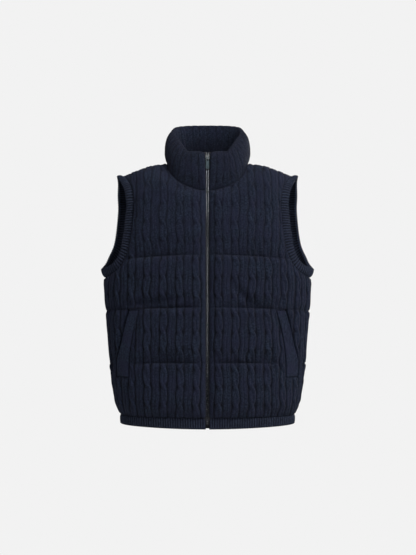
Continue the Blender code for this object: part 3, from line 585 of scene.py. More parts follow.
# staggered grid of points inside an outline, clear of its edge, with their distance to it
def patternGrid(outline, step, margin):
    low, high = outline.min(0), outline.max(0)
    xs = np.arange(low[0], high[0] + step, step)
    ys = np.arange(low[1], high[1] + step, step)
    gx, gy = np.meshgrid(xs, ys)
    gx = gx + (np.arange(len(ys)) % 2)[:, None] * step / 2
    points = np.stack([gx.ravel(), gy.ravel()], 1)
    distance = outlineDistance(points, outline)
    keep = distance > margin
    return points[keep], distance[keep]


# closed padded wall: knitted outside at fine spacing, plain inside
def wallPanel(name, outline, place, liftAt, directions, look, flip=1.0):
    outer, distance = patternGrid(outline, look["fineStep"], look["fineStep"] * look["fineMargin"])
    inner, _ = patternGrid(outline, look["plainStep"], look["plainStep"] * look["plainMargin"])
    edgePoint, edgeNormal = place(outline[:, 0], outline[:, 1])
    for index, direction in directions.items():
        edgeNormal[index] = direction
    outerPoint, outerNormal = place(outer[:, 0], outer[:, 1])
    lift, paintedShade, stitched = liftAt(outer[:, 0], outer[:, 1], distance)
    innerPoint, innerNormal = place(inner[:, 0], inner[:, 1])
    points = np.vstack([edgePoint + edgeNormal * body["seamOut"],
                        outerPoint + outerNormal * (body["seamOut"] + lift)[:, None],
                        edgePoint - edgeNormal * body["wallIn"],
                        innerPoint - innerNormal * body["wallIn"]])
    points[:, 0] *= flip
    faces = fillOutline(outline, outer)
    first = len(outline) + len(outer)
    faces += [[first + i for i in reversed(face)] for face in fillOutline(outline, inner)]
    count = len(outline)
    faces += [[(i + 1) % count, i, first + i, first + (i + 1) % count] for i in range(count)]
    patterns = np.vstack([outline, np.stack([stitched, outer[:, 1]], 1), outline, inner])
    # painted shade: along the outline, as worked out on the outside, none inside
    shadeTints = np.concatenate([np.full(count, look["edgeShade"]), paintedShade, np.zeros(count + len(inner))])
    return meshObject(name, points, faces, patterns, shadeTints)


# edges that neighbours share
edgeStep = 0.0022
armOpening = smoothLine(armhole, edgeStep)
armWidth = 0.021
armSeam = offsetLine(armOpening, -armWidth, edgeStep)
sideIndex = int(np.argmin(np.abs(armSeam[:, 0])))


# shoulder seam from the armhole to the neck; back is 1 on the back
def shoulderEdge(start, end, back):
    distance = np.linspace(start, end, lineDetail["shoulder"])
    capped = np.full(len(distance), body["sideCap"])
    across = acrossAndRatio(distance, capped, np.full(len(distance), back))[0]
    return np.stack([distance, topHeight(across)], 1)


def patternFrontOutline():
    hemEnd = float(quarterLength(body["hemSeam"], 0))
    hem = evenLine([(body["zipEdge"], body["hemSeam"]), (hemEnd, body["hemSeam"])], edgeStep)
    edge = armSeam[:sideIndex + 1]
    heights = np.linspace(body["hemSeam"], edge[-1, 1], lineDetail["side"])[1:-1]
    side = np.stack([quarterLength(heights, 0), heights], 1)
    arm = edge[::-1].copy()
    arm[:, 0] = np.minimum(arm[:, 0] + quarterLength(arm[:, 1], 0), quarterLength(arm[:, 1], 0))
    neck = smoothLine(neckFrontEdge, edgeStep)
    shoulder = shoulderEdge(arm[-1, 0], neck[-1, 0], 0)
    centreHeights = np.linspace(body["neckFront"], body["hemSeam"], lineDetail["centre"])[1:-1]
    centre = np.stack([np.full(len(centreHeights), body["zipEdge"]), centreHeights], 1)
    outline = np.vstack([hem, side, arm[:-1], shoulder, neck[:-1][::-1], centre])
    firstNeck = len(hem) + len(side) + len(arm) - 1 + len(shoulder)
    return outline, firstNeck, len(neck)


def patternBackOutline():
    halfHem = float(quarterLength(body["hemSeam"], 1))
    hem = evenLine([(-halfHem, body["hemSeam"]), (halfHem, body["hemSeam"])], edgeStep)
    edge = armSeam[sideIndex:]
    heights = np.linspace(body["hemSeam"], edge[0, 1], lineDetail["side"])[1:-1]
    side = np.stack([quarterLength(heights, 1), heights], 1)
    arm = edge.copy()
    arm[:, 0] = quarterLength(arm[:, 1], 1) - np.maximum(arm[:, 0], 0)
    neck = smoothLine(neckBackEdge, edgeStep)[::-1]
    shoulder = shoulderEdge(arm[-1, 0], neck[0, 0], 1)
    left = np.vstack([side, arm[:-1], shoulder])
    neckAll = np.vstack([neck[1:], neck[1:-1][::-1] * [-1, 1]])
    outline = np.vstack([hem, left, neckAll, left[::-1] * [-1, 1]])
    return outline, len(hem) + len(left), len(neck)


# collar
# share of the way round from front to back, across, depth, height
collarTop = (
    (0.00, 0.0062, -0.0880, 0.0190), (0.14, 0.0430, -0.0835, 0.0190), (0.25, 0.0525, -0.0690, 0.0290),
    (0.40, 0.0685, -0.0330, 0.0520), (0.55, 0.0830, 0.0100, 0.0750), (0.70, 0.0790, 0.0480, 0.0895),
    (0.85, 0.0470, 0.0740, 0.0970), (1.00, 0.0000, 0.0800, 0.0985),
)
# share of the height, outwards: up the outside, over the top, down the inside
collarProfile = (
    (0.00, 0.0022), (0.06, 0.0034), (0.14, 0.0056), (0.30, 0.0100), (0.55, 0.0126), (0.80, 0.0108),
    (0.93, 0.0068), (0.985, 0.0030), (1.00, -0.0006), (0.985, -0.0036), (0.93, -0.0062),
    (0.75, -0.0085), (0.40, -0.0080), (0.12, -0.0052), (0.00, -0.0035),
)


def collarLines():
    step = 0.0018
    front = smoothLine(neckFrontEdge, step)
    back = smoothLine(neckBackEdge, step)[::-1]
    frontPoint, frontNormal = frontPlace(front[:, 0], front[:, 1])
    backPoint, backNormal = backPlace(back[:, 0], back[:, 1])
    frontPoint[-1, 1] = 0.0
    frontNormal[-1] = (0, 0, 1)
    base = np.vstack([frontPoint, backPoint[1:]])
    normal = np.vstack([frontNormal, backNormal[1:]])
    length = runLengths(base)
    share = length / length[-1]
    top = np.stack([tableCurve(collarTop, c)(share) for c in (1, 2, 3)], 1)
    outward = unit(np.cross(lineDirection(base), unit(top - base)))
    return {"base": base, "top": top, "outward": outward, "mitre": unit(normal + outward), "length": length}


collar = collarLines()


# edge directions for the outline's neck points
def neckDirections(outline, first, count, front):
    place = frontPlace if front else backPlace
    total = count - 1 if front else 2 * count - 3
    directions = {}
    for k in range(-1, total):
        around, height = outline[first + k]
        point = place(np.array([around]), np.array([height]))[0][0]
        mirrored = point * [-1 if point[0] < 0 else 1, 1, 1]
        nearest = int(np.argmin(np.linalg.norm(collar["base"] - mirrored, axis=1)))
        direction = collar["mitre"][nearest].copy()
        if point[0] < 0:
            direction[0] *= -1
        directions[first + k] = direction
    return directions


print("body surface and seams worked out")


# materials
def addNode(tree, kind, **settings):
    node = tree.nodes.new("ShaderNode" + kind)
    for key, value in settings.items():
        setattr(node, key, value)
    return node


def maths(tree, operation, *values):
    node = addNode(tree, "Math", operation=operation)
    for socket, value in zip(node.inputs, values):
        if isinstance(value, (int, float)):
            socket.default_value = value
        else:
            tree.links.new(value, socket)
    return node.outputs[0]


def newMaterial(name, roughness, **inputs):
    made = bpy.data.materials.new(name)
    made.use_nodes = True
    shader = made.node_tree.nodes["Principled BSDF"]
    shader.inputs["Roughness"].default_value = roughness
    for key, value in inputs.items():
        shader.inputs[key.replace("_", " ")].default_value = value
    return made, made.node_tree, shader


def mixColour(tree, share, low, high):
    node = addNode(tree, "Mix", data_type="RGBA")
    for index, value in ((0, share), (6, low), (7, high)):
        if isinstance(value, (int, float, tuple)):
            node.inputs[index].default_value = value
        else:
            tree.links.new(value, node.inputs[index])
    return node.outputs[2]


def noise(tree, coordinates, scale, detail, rough):
    node = addNode(tree, "TexNoise")
    node.inputs["Scale"].default_value = scale
    node.inputs["Detail"].default_value = detail
    node.inputs["Roughness"].default_value = rough
    tree.links.new(coordinates, node.inputs["Vector"])
    return node.outputs[0]


def smoothRange(tree, value, low, high, outLow=0.0, outHigh=1.0):
    node = addNode(tree, "MapRange", interpolation_type="SMOOTHSTEP")
    tree.links.new(value, node.inputs[0])
    for index, number in zip(range(1, 5), (low, high, outLow, outHigh)):
        node.inputs[index].default_value = number
    return node.outputs[0]


def opaque(colour):
    return (*colour, 1.0)


# stitch relief of a knit, 0 between the stitches and 1 on their tops
def stitchPattern(tree, uv, look):
    parts = addNode(tree, "SeparateXYZ")
    tree.links.new(uv, parts.inputs[0])
    wale = maths(tree, "FRACT", maths(tree, "DIVIDE", parts.outputs[0], look["wale"]))
    side = maths(tree, "ABSOLUTE", maths(tree, "SUBTRACT", wale, 0.5))
    slant = maths(tree, "MULTIPLY", side, look["slant"])
    course = maths(tree, "ADD", maths(tree, "DIVIDE", parts.outputs[1], look["course"]), slant)
    loop = maths(tree, "SINE", maths(tree, "MULTIPLY", maths(tree, "FRACT", course), math.pi))
    leg = maths(tree, "SINE", maths(tree, "MULTIPLY", side, 2 * math.pi))
    return maths(tree, "MULTIPLY", maths(tree, "POWER", loop, 0.6), maths(tree, "POWER", leg, 0.5))


def addBump(tree, shader, height, strength, depth):
    bump = addNode(tree, "Bump")
    bump.inputs["Strength"].default_value = strength
    bump.inputs["Distance"].default_value = depth
    tree.links.new(height, bump.inputs["Height"])
    tree.links.new(bump.outputs[0], shader.inputs["Normal"])


# heathered knit: V-shaped stitches along the pattern, yarn fuzz, painted shade in the gutters
def knitMaterial(name, look):
    made, tree, shader = newMaterial(name, look["roughness"], Sheen_Weight=look["sheen"],
                                     Sheen_Roughness=0.55, Sheen_Tint=opaque(look["sheenTint"]),
                                     Specular_IOR_Level=0.10)
    uv = addNode(tree, "UVMap", uv_map="pattern").outputs[0]
    place = addNode(tree, "TexCoord").outputs["Object"]
    stitch = stitchPattern(tree, uv, look)
    fuzz = noise(tree, place, look["fuzzScale"], 3.0, 0.65)
    patches = noise(tree, place, look["patchScale"], 3.0, 0.6)
    flecks = noise(tree, place, look["fleckScale"], 2.0, 0.7)
    stretched = addNode(tree, "Mapping")
    stretched.inputs["Scale"].default_value = look["streakScale"]
    tree.links.new(uv, stretched.inputs["Vector"])
    streaks = noise(tree, stretched.outputs[0], 1.0, 2.0, 0.6)
    paintedShade = addNode(tree, "Attribute", attribute_name="paintedShade").outputs["Fac"]
    dark, deep = opaque(look["dark"]), opaque(look["deep"])
    melange = mixColour(tree, smoothRange(tree, flecks, 0.38, 0.64), dark, opaque(look["light"]))
    patched = smoothRange(tree, patches, 0.35, 0.65, 0.0, look["patches"])
    toned = mixColour(tree, patched, melange, opaque(look["patch"]))
    streaked = mixColour(tree, smoothRange(tree, streaks, 0.35, 0.62, look["streaks"], 0.0), toned, dark)
    # painted shade from the mesh: the yarn darkens towards its darkest colour
    withPaintedShade = mixColour(tree, maths(tree, "MULTIPLY", paintedShade, look["paintedShadeDark"]), streaked, deep)
    # painted shade between the stitches
    stitchShade = smoothRange(tree, stitch, 0.05, 0.65, look["gapShade"], 0.0)
    tree.links.new(mixColour(tree, stitchShade, withPaintedShade, deep), shader.inputs["Base Color"])
    rough = smoothRange(tree, fuzz, 0.3, 0.7, look["roughness"] - 0.08, look["roughness"] + 0.06)
    tree.links.new(rough, shader.inputs["Roughness"])
    height = maths(tree, "ADD", stitch, maths(tree, "MULTIPLY", fuzz, look["fuzz"]))
    addBump(tree, shader, height, look["bump"], look["bumpDepth"])
    return made


# tightly made twill tape: a fine weave of bumps, darker in their valleys as painted shade
def tapeMaterial(name, look):
    made, tree, shader = newMaterial(name, 0.72, Sheen_Weight=0.15, Specular_IOR_Level=0.25)
    place = addNode(tree, "TexCoord").outputs["Object"]
    parts = addNode(tree, "SeparateXYZ")
    tree.links.new(place, parts.inputs[0])
    turns = 2 * math.pi / look["weave"]
    slanted = maths(tree, "ADD", parts.outputs[2], maths(tree, "MULTIPLY", parts.outputs[0], 0.6))
    rows = maths(tree, "SINE", maths(tree, "MULTIPLY", slanted, turns))
    columns = maths(tree, "COSINE", maths(tree, "MULTIPLY", parts.outputs[0], turns))
    weave = maths(tree, "MULTIPLY", rows, columns)
    weaveShaded = mixColour(tree, smoothRange(tree, weave, -0.7, 0.7), opaque(look["dark"]), opaque(look["light"]))
    tree.links.new(weaveShaded, shader.inputs["Base Color"])
    addBump(tree, shader, weave, 0.6, 0.0003)
    return made


# cast metal with small handling marks
def metalMaterial(name, colour, roughness, wear):
    made, tree, shader = newMaterial(name, roughness, Base_Color=opaque(colour), Metallic=1.0)
    place = addNode(tree, "TexCoord").outputs["Object"]
    marks = noise(tree, place, 700.0, 4.0, 0.6)
    worn = smoothRange(tree, marks, 0.35, 0.7, roughness - wear, roughness + wear)
    tree.links.new(worn, shader.inputs["Roughness"])
    addBump(tree, shader, marks, 0.25, 0.00015)
    return made


# knit colours and stitches; scales are turns in a metre
bodyLook = {
    "wale": 0.00235,            # width and height of a stitch, and how steeply its legs lean
    "course": 0.0021,
    "slant": 1.5,
    "roughness": 0.90,
    "sheen": 0.05,
    "sheenTint": (0.62, 0.66, 0.95),
    "dark": (0.0080, 0.0112, 0.0225),
    "light": (0.0248, 0.0380, 0.0690),
    "fleckScale": 300.0,
    "patch": (0.0190, 0.0200, 0.0490),
    "patches": 0.5,
    "patchScale": 26.0,
    "streaks": 0.35,
    "streakScale": (230.0, 26.0, 1.0),
    "deep": (0.0022, 0.0026, 0.0052),       # painted shade colour, between stitches and in the gutters
    # how far the painted shade from the mesh darkens the yarn
    "paintedShadeDark": 0.82,
    "gapShade": 0.55,
    "fuzz": 0.22,
    "fuzzScale": 900.0,
    "bump": 0.85,
    "bumpDepth": 0.0011,
}
# the ribbed bands: a lighter copy of the same yarn so the rib crests read lit, with stronger painted shade
# between the ribs
ribLook = dict(bodyLook, wale=0.0019, course=0.0018, paintedShadeDark=0.95, light=(0.0470, 0.0620, 0.1050),
               dark=(0.0190, 0.0260, 0.0460), patch=(0.0300, 0.0360, 0.0700), streaks=0.1)
plainLook = dict(bodyLook, wale=0.0021, course=0.0019, gapShade=0.35, patches=0.6, streaks=0.15)
knitCloth = knitMaterial("cable_knit_yarn", bodyLook)
ribCloth = knitMaterial("rib_knit_yarn", ribLook)
plainCloth = knitMaterial("plain_knit_yarn", plainLook)
# the weave's valleys take the dark colour as painted shade, its bumps the light one
tapeLook = {"weave": 0.0008, "dark": (0.004, 0.0045, 0.008), "light": (0.012, 0.013, 0.021)}
tapeCloth = tapeMaterial("zip_tape_twill", tapeLook)
# colour, roughness, how much the handling marks change it
metalLooks = {
    "tooth_metal": ((0.185, 0.196, 0.212), 0.20, 0.10),
    "slider_metal": ((0.080, 0.084, 0.088), 0.30, 0.08),
    "box_metal": ((0.014, 0.015, 0.016), 0.60, 0.08),
    "tab_metal": ((0.056, 0.076, 0.086), 0.42, 0.08),
}
metals = {name: metalMaterial(name, *look) for name, look in metalLooks.items()}
print("materials made")


def finishPiece(item, material, stand):
    faceOut(item)
    item.data.materials.append(material)
    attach(item, "vest")
    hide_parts(stand)


# the two fronts and the back
fronts = {
    "fineStep": 0.0015,
    "fineMargin": 0.55,         # the points keep this share of a step off the outline
    "plainStep": 0.010,
    "plainMargin": 0.5,
    "fill": 0.55,
    # painted shade along the outline, where the seams are
    "edgeShade": 0.6,
}
backPanel = dict(fronts, fineStep=0.00187)
cloth = {
    "thinFrom": -0.10,          # the padding thins above this towards the shoulder line
    "thinReach": 0.09,
    "pinchWider": 0.030,        # its pinched edge is wider there
    "pinchRound": 0.42,
    "pinchTaper": 0.36,
    "chestLow": -0.14,          # the chest's flatter knit ends below this
    "chestReach": 0.16,
    "gutterHigh": 0.0024,       # knit lower than this gets painted shade
    # share of the gutters' painted shade kept over the chest
    "gutterShare": 0.72,
    "edgeFade": 0.0045,
    # painted shade along the panel's seams, this wide and this dark, and in the quilting folds
    "seamLine": 0.0022,
    "seamShade": 0.7,
    "foldShade": 0.95,
    "foldFlat": 0.5,            # the knit is this much flatter in a fold
}


# how far the outer face stands out, how much painted shade it gets, and its stitch pattern's place across
def clothLift(name, fromCentre, height, distance, imageSide, seed):
    upper = softStep((height - cloth["thinFrom"]) / cloth["thinReach"])
    lower = softStep((cloth["chestLow"] - height) / cloth["chestReach"])
    pulls = seamPull[name]
    wide = quilt["pinchWidth"] + cloth["pinchWider"] * upper
    pinch = softStep(distance / wide) ** (cloth["pinchRound"] + cloth["pinchTaper"] * upper)
    padding = quilt["puff"] * puffAt(fromCentre, height, pulls) * pinch
    padding += puckers(fromCentre, height, seed) * pinch - creaseDepth(creases[name], fromCentre, height)
    lift = np.maximum(padding, 0.0)
    relief, place = knitHeight(fromCentre, height, imageSide, seed, name != "back")
    fold = seamFoldShade(fromCentre, height, pulls)
    # painted shade in the gutters between the knit columns, along the seams and in the quilting folds
    gutter = np.clip(1 - relief / cloth["gutterHigh"], 0, 1) ** 1.2
    gutter = gutter * (cloth["gutterShare"] + (1 - cloth["gutterShare"]) * lower)
    share = knit["chestShare"] + (knit["fullShare"] - knit["chestShare"]) * lower
    relief = relief * (1 - cloth["foldFlat"] * fold) * softStep(distance / cloth["edgeFade"]) * share
    line = cloth["seamShade"] * (1 - softStep(distance / cloth["seamLine"]))
    paintedShade = np.maximum(np.maximum(gutter, cloth["foldShade"] * fold), line)
    if name != "back":
        smooth, plain, mouth = weltMask(fromCentre, height)
        lift = lift * (1 - smooth) + (welt["lift"] - body["seamOut"]) * smooth - welt["opening"] * mouth
        lift = np.maximum(lift, 0.0)
        # under the welt and in the pocket's mouth the colour takes painted shade
        relief = relief * (1 - plain)
        paintedShade = paintedShade * (1 - plain) + welt["underShade"] * plain
        paintedShade = np.maximum(paintedShade, np.minimum(welt["mouthShade"] * mouth, 1.0))
    return lift + relief, paintedShade, place


def buildFronts():
    outline, firstNeck, neckCount = patternFrontOutline()
    directions = neckDirections(outline, firstNeck, neckCount, True)
    for name, flip, seed in (("front_left", 1.0, 0.4), ("front_right", -1.0, 2.1)):
        def liftAt(around, height, distance):
            return clothLift(name, around, height, distance, flip, seed)

        item = wallPanel(name + "_knit", outline, frontPlace, liftAt, directions, fronts, flip)
        finishPiece(item, knitCloth, name)
        print(name, len(item.data.polygons), "faces")


def buildBack():
    outline, firstNeck, neckCount = patternBackOutline()
    directions = neckDirections(outline, firstNeck, neckCount, False)

    def liftAt(fromCentre, height, distance):
        return clothLift("back", fromCentre, height, distance, -1.0, 1.3)

    item = wallPanel("back_knit", outline, backPlace, liftAt, directions, backPanel)
    finishPiece(item, knitCloth, "back")
    print("back", len(item.data.polygons), "faces")


buildFronts()
buildBack()


# points, faces, pattern places and painted shade of a band or tube through like sections
def loft(sections, patterns, shadeTints, closed=False):
    rows, count = sections.shape[:2]
    last = rows if closed else rows - 1
    i = np.arange(last)[:, None]
    k = np.arange(count)[None, :]
    j, m = (i + 1) % rows, (k + 1) % count
    faces = np.stack([i * count + k, i * count + m, j * count + m, j * count + k], -1).reshape(-1, 4).tolist()
    if not closed:
        for start in (0, (rows - 1) * count):
            faces += [[start + a, start + a + 1, start + count - 2 - a, start + count - 1 - a]
                      for a in range(count // 2 - 1)]
    return sections.reshape(-1, 3), faces, patterns.reshape(-1, 2), shadeTints.reshape(-1)


# the +X half with its mirror image joined on past the last section
def mirroredHalves(points, patterns, shadeTints):
    return (np.vstack([points, (points * [-1, 1, 1])[-2::-1]]),
            np.vstack([patterns, patterns[-2::-1] * [-1, 1]]),
            np.vstack([shadeTints, shadeTints[-2::-1]]))


collarLook = {
    "along": 0.0015,
    "round": 0.0015,
    "fill": 0.6,
    "ribShare": 0.42,           # the collar's knit is this much flatter than the fronts'
    "topFlat": 0.6,             # and flatter still over its top edge
    "topReach": 0.09,
    "fade": 0.008,              # the relief ends this far from the neck seam
    "edgeRound": 0.0040,        # the front edges thin out over this length
    "edgeThick": 0.45,
    "seamBlend": 0.14,          # the wall turns from the seam's mitre to its own direction by here
    "clear": 0.0006,
    "cornerDrop": 0.0045,
    "cornerReach": 0.0070,
    # painted shade: in the gutters, by the neck seam, inside towards the base and over the whole outside,
    # which faces up into the light
    "gutterHigh": 0.0011,
    "gutterShade": 0.6,
    "seamShade": 0.3,
    "insideShade": 0.75,
    "insideReach": 0.75,
    "outerShade": 0.24,
    "seed": 0.9,
}


# points of the collar's section with an even count, and the way out of the wall at each
def collarSection():
    usualRise = 0.1             # shares are spaced as on a collar this high
    rows = [(share * usualRise, offset) for share, offset in collarProfile]
    section = smoothLine(rows, collarLook["round"])
    if len(section) % 2:
        section = evenLine(section, collarLook["round"] * 1.004)
    section = section[: len(section) // 2 * 2]
    return section[:, 0] / usualRise, section[:, 1], leftOf(lineDirection(section)), runLengths(section)


def buildCollar():
    count = int(collar["length"][-1] / collarLook["along"])
    count += count % 2
    lengths = np.linspace(0, collar["length"][-1], count + 1)

    def along(values):
        return np.stack([np.interp(lengths, collar["length"], values[:, c]) for c in range(3)], -1)

    base, top = along(collar["base"]), along(collar["top"])
    outward, mitre = unit(along(collar["outward"])), unit(along(collar["mitre"]))
    top[:, 2] -= collarLook["cornerDrop"] * np.exp(-(lengths / collarLook["cornerReach"]) ** 2)
    rise = top - base
    upward = unit(rise)[:, None]
    share, offset, sectionNormal, run = collarSection()
    outside = offset > 0
    place = lengths[:, None] * np.ones(len(share))
    height = np.linalg.norm(rise, axis=1)[:, None] * share * np.where(outside, 1, -1)
    facing = np.where(sectionNormal[:, 1] > 0, 1.0, -1.0)
    relief, stitched = knitHeight(place, height, facing, collarLook["seed"])
    fade = softStep(np.minimum(run, run[-1] - run) / collarLook["fade"])
    flat = collarLook["topFlat"] * np.exp(-((share - 1) / collarLook["topReach"]) ** 2)
    relief = relief * fade * collarLook["ribShare"] * (1 - flat)
    edge = np.sin(np.clip(place / collarLook["edgeRound"], 0, 1) * math.pi / 2)
    narrow = collarLook["edgeThick"] + (1 - collarLook["edgeThick"]) * edge
    blend = softStep(share / collarLook["seamBlend"])[None, :, None]
    direction = unit(mitre[:, None] * (1 - blend) + outward[:, None] * blend)
    points = (base[:, None] + rise[:, None] * share[None, :, None]
              + direction * (offset * narrow + relief * sectionNormal[:, 1])[..., None]
              + upward * (relief * sectionNormal[:, 0] + collarLook["clear"])[..., None])
    # painted shade in the gutters, by the neck seam, inside the collar and over its outside
    gutter = np.clip(1 - relief / collarLook["gutterHigh"], 0, 1) ** 1.5 * collarLook["gutterShade"]
    paintedShade = gutter * fade + (1 - fade) * collarLook["seamShade"]
    shade = collarLook["insideShade"] * softStep((1 - share) / collarLook["insideReach"]) * (offset < 0)
    paintedShade = np.clip(np.maximum(paintedShade, shade) + collarLook["outerShade"] * outside, 0, 1)
    patterns = np.stack(np.broadcast_arrays(stitched, run), -1)
    item = meshObject("collar_knit", *loft(*mirroredHalves(points, patterns, paintedShade)))
    finishPiece(item, knitCloth, "collar")
    print("collar", len(item.data.polygons), "faces")


buildCollar()

# ribbed bands
hemRib = {
    "pitch": 0.0058,
    "height": 0.0022,
    "thick": 0.0030,
    "along": 0.0011,
    "down": 0.0016,
    "gap": 0.0004,              # clear of the seam above
    "hang": 0.0028,             # the band hangs lower at the centre front
    "sideRise": 0.0048,         # and rises by this towards the side
    "body": 0.0010,
    "seamShare": 0.25,          # the band thins towards its seam over this share of its width
    "wanders": ((0.5, 19, 0), (0.25, 57, 30)),      # how far the ribs stray, turns along and down
}
armRib = {
    "pitch": 0.0058,
    "height": 0.0022,
    "thick": 0.0028,
    "along": 0.00105,
    "down": 0.0015,
    "body": 0.0012,
    "seamShare": 0.3,
    "wanders": ((0.4, 31, 0),),
    "squareShare": 0.88,        # how nearly the ribs stand square to the edge
    "flare": 0.0088,            # the edge stands out at the bottom of the armhole
    "flareWidth": 0.040,
    "flareRound": 0.7,
    "backFlare": 0.0034,        # and a little along its back, from these places on
    "backFrom": 0.030,
    "backReach": 0.02,
    "backBelow": -0.045,
    "backFade": 0.06,
}


# 0 between two ribs and 1 on top of one
def ribHeight(along, down, look):
    wander = sum(share * np.sin(along * turns + down * drop) for share, turns, drop in look["wanders"])
    return np.abs(np.sin(math.pi * along / look["pitch"] + wander)) ** 1.6


# down the outside, round the edge and back inside, as (share of the width, offset, share of the rib)
def bandProfile(width, half, step):
    down = np.linspace(0, 1, max(3, int(width / step)))
    edge = half / width * 0.8
    rows = [(d, half, 1.0) for d in down[:-1]]
    for angle in np.linspace(0, math.pi, 9):
        rows.append((1 - edge + math.sin(angle) * edge, half * math.cos(angle), 1.0))
    rows += [(d, -half, 0.4) for d in down[::-2][1:]]       # shallower ribs inside
    rows += [(0.0, -half, 0.0)]
    if len(rows) % 2:                                       # the end caps need an even count
        rows.insert(-1, (0.04, -half, 0.1))
    return np.array(rows).T


# thin at the seam, then full: how far each point of a band's section stands out
def bandThickness(share, offset, look):
    atSeam = softStep(share / look["seamShare"])
    outside = body["seamOut"] * (1 - atSeam) + look["thick"] * atSeam
    full = look["body"] * np.sin(math.pi * np.clip(share, 0, 1))
    return np.where(offset > 0, np.minimum(offset, outside) + full, offset)


def buildHemRib():
    frontLow = float(quarterLength(body["hemSeam"], 0))
    half = frontLow + float(quarterLength(body["hemSeam"], 1))
    count = int((half - body["zipEdge"]) / hemRib["along"])
    along = np.linspace(body["zipEdge"], half, count + 1)
    width = body["hemSeam"] - body["hemBottom"]
    share, offset, ribbed = bandProfile(width, hemRib["thick"], hemRib["down"])
    place = along[:, None] * np.ones(len(share))
    raised = hemRib["sideRise"] * np.sin(math.pi / 2 * np.clip(place / frontLow, 0, 1)) ** 2
    drop = width + hemRib["hang"] - hemRib["gap"] - raised
    height = body["hemSeam"] - hemRib["gap"] - drop * share
    around = place / half * (quarterLength(height, 0) + quarterLength(height, 1))
    around[0] = body["zipEdge"]
    rib = ribHeight(place, height, hemRib)
    out = bandThickness(share, offset, hemRib) + rib * hemRib["height"] * ribbed * np.sign(offset)
    points = bodyPoint(around, height) + bodyNormal(around, height) * out[..., None]
    points[0, :, 0] = body["zipEdge"] - body["zipLip"]
    patterns = np.stack([place, height], -1)
    # painted shade between the ribs
    item = meshObject("hem_rib_knit", *loft(*mirroredHalves(points, patterns, (1 - rib) ** 1.2)))
    finishPiece(item, ribCloth, "hem_rib")
    print("hem rib", len(item.data.polygons), "faces")


# for each point of the opening, the place on the seam that lies square across the band
def armSeamPlaces(opening):
    step = 0.0006
    dense = offsetLine(smoothLine(armhole, step), -armWidth, step)
    shares = np.linspace(0, 1, len(dense))
    facing = movedLine(opening, -armWidth)
    square = np.array([shares[np.argmin(np.hypot(*(dense - place).T))] for place in facing])
    square[0], square[-1] = 0.0, 1.0
    mixed = armRib["squareShare"] * np.maximum.accumulate(square)
    mixed += (1 - armRib["squareShare"]) * np.linspace(0, 1, len(opening))
    return np.stack([np.interp(mixed, shares, dense[:, c]) for c in (0, 1)], 1)


def buildArmRibs():
    opening = evenLine(armOpening, armRib["along"])
    seam = armSeamPlaces(opening)
    share, offset, ribbed = bandProfile(armWidth, armRib["thick"], armRib["down"])
    run = np.arange(len(opening))[:, None] * armRib["along"] * np.ones(len(share))
    place = seam[:, None] + (opening - seam)[:, None] * share[None, :, None]
    around, height = place[..., 0] + quarterLength(place[..., 1], 0), place[..., 1]
    rib = ribHeight(run, height, armRib)
    nearSide = np.exp(-(opening[:, :1] / armRib["flareWidth"]) ** 2)
    low = softStep((armRib["backBelow"] - opening[:, 1:]) / armRib["backFade"])
    behind = softStep((opening[:, :1] - armRib["backFrom"]) / armRib["backReach"])
    flare = armRib["flare"] * nearSide * share ** armRib["flareRound"]
    flare = flare + armRib["backFlare"] * behind * low * share
    out = bandThickness(share, offset, armRib) + flare + rib * armRib["height"] * ribbed * np.sign(offset)
    points = bodyPoint(around, height) + bodyNormal(around, height) * out[..., None]
    points[0, :, 1] = 0.0
    points[0, :, [0, 2]] = (points[0, :, [0, 2]] + points[-1, :, [0, 2]]) / 2
    # painted shade between the ribs
    paintedShade = (1 - rib) ** 1.2
    patterns = np.stack(np.broadcast_arrays(run, share * armWidth), -1)
    for name, side in (("left", 1), ("right", -1)):
        band = loft(points[:-1] * [side, 1, 1], patterns[:-1], paintedShade[:-1], closed=True)
        item = meshObject("armhole_rib_%s_knit" % name, *band)
        finishPiece(item, ribCloth, "armhole_rib_" + name)
    print("armhole ribs", len(item.data.polygons), "faces each")


buildHemRib()
buildArmRibs()


# pocket welts, laid over the smooth places of the fronts
weltLook = {
    "rows": 104,
    "across": 23,
    "wide": 0.033,
    "clear": 0.0004,
    "under": 0.0012,            # its inner face lies this far in
    "round": 0.0030,
    "lip": 0.0016,              # the outer edge gapes a little
    "lipFrom": 0.7,
    "lipEnds": 0.02,
    "lipUnder": 0.7,
    "wave": 0.0006,
    "waveTurns": (95, 40),
    "endFrom": 0.0006,
    "thinnest": 0.0003,
    # painted shade on the welt's inner face
    "innerShade": 0.8,
}


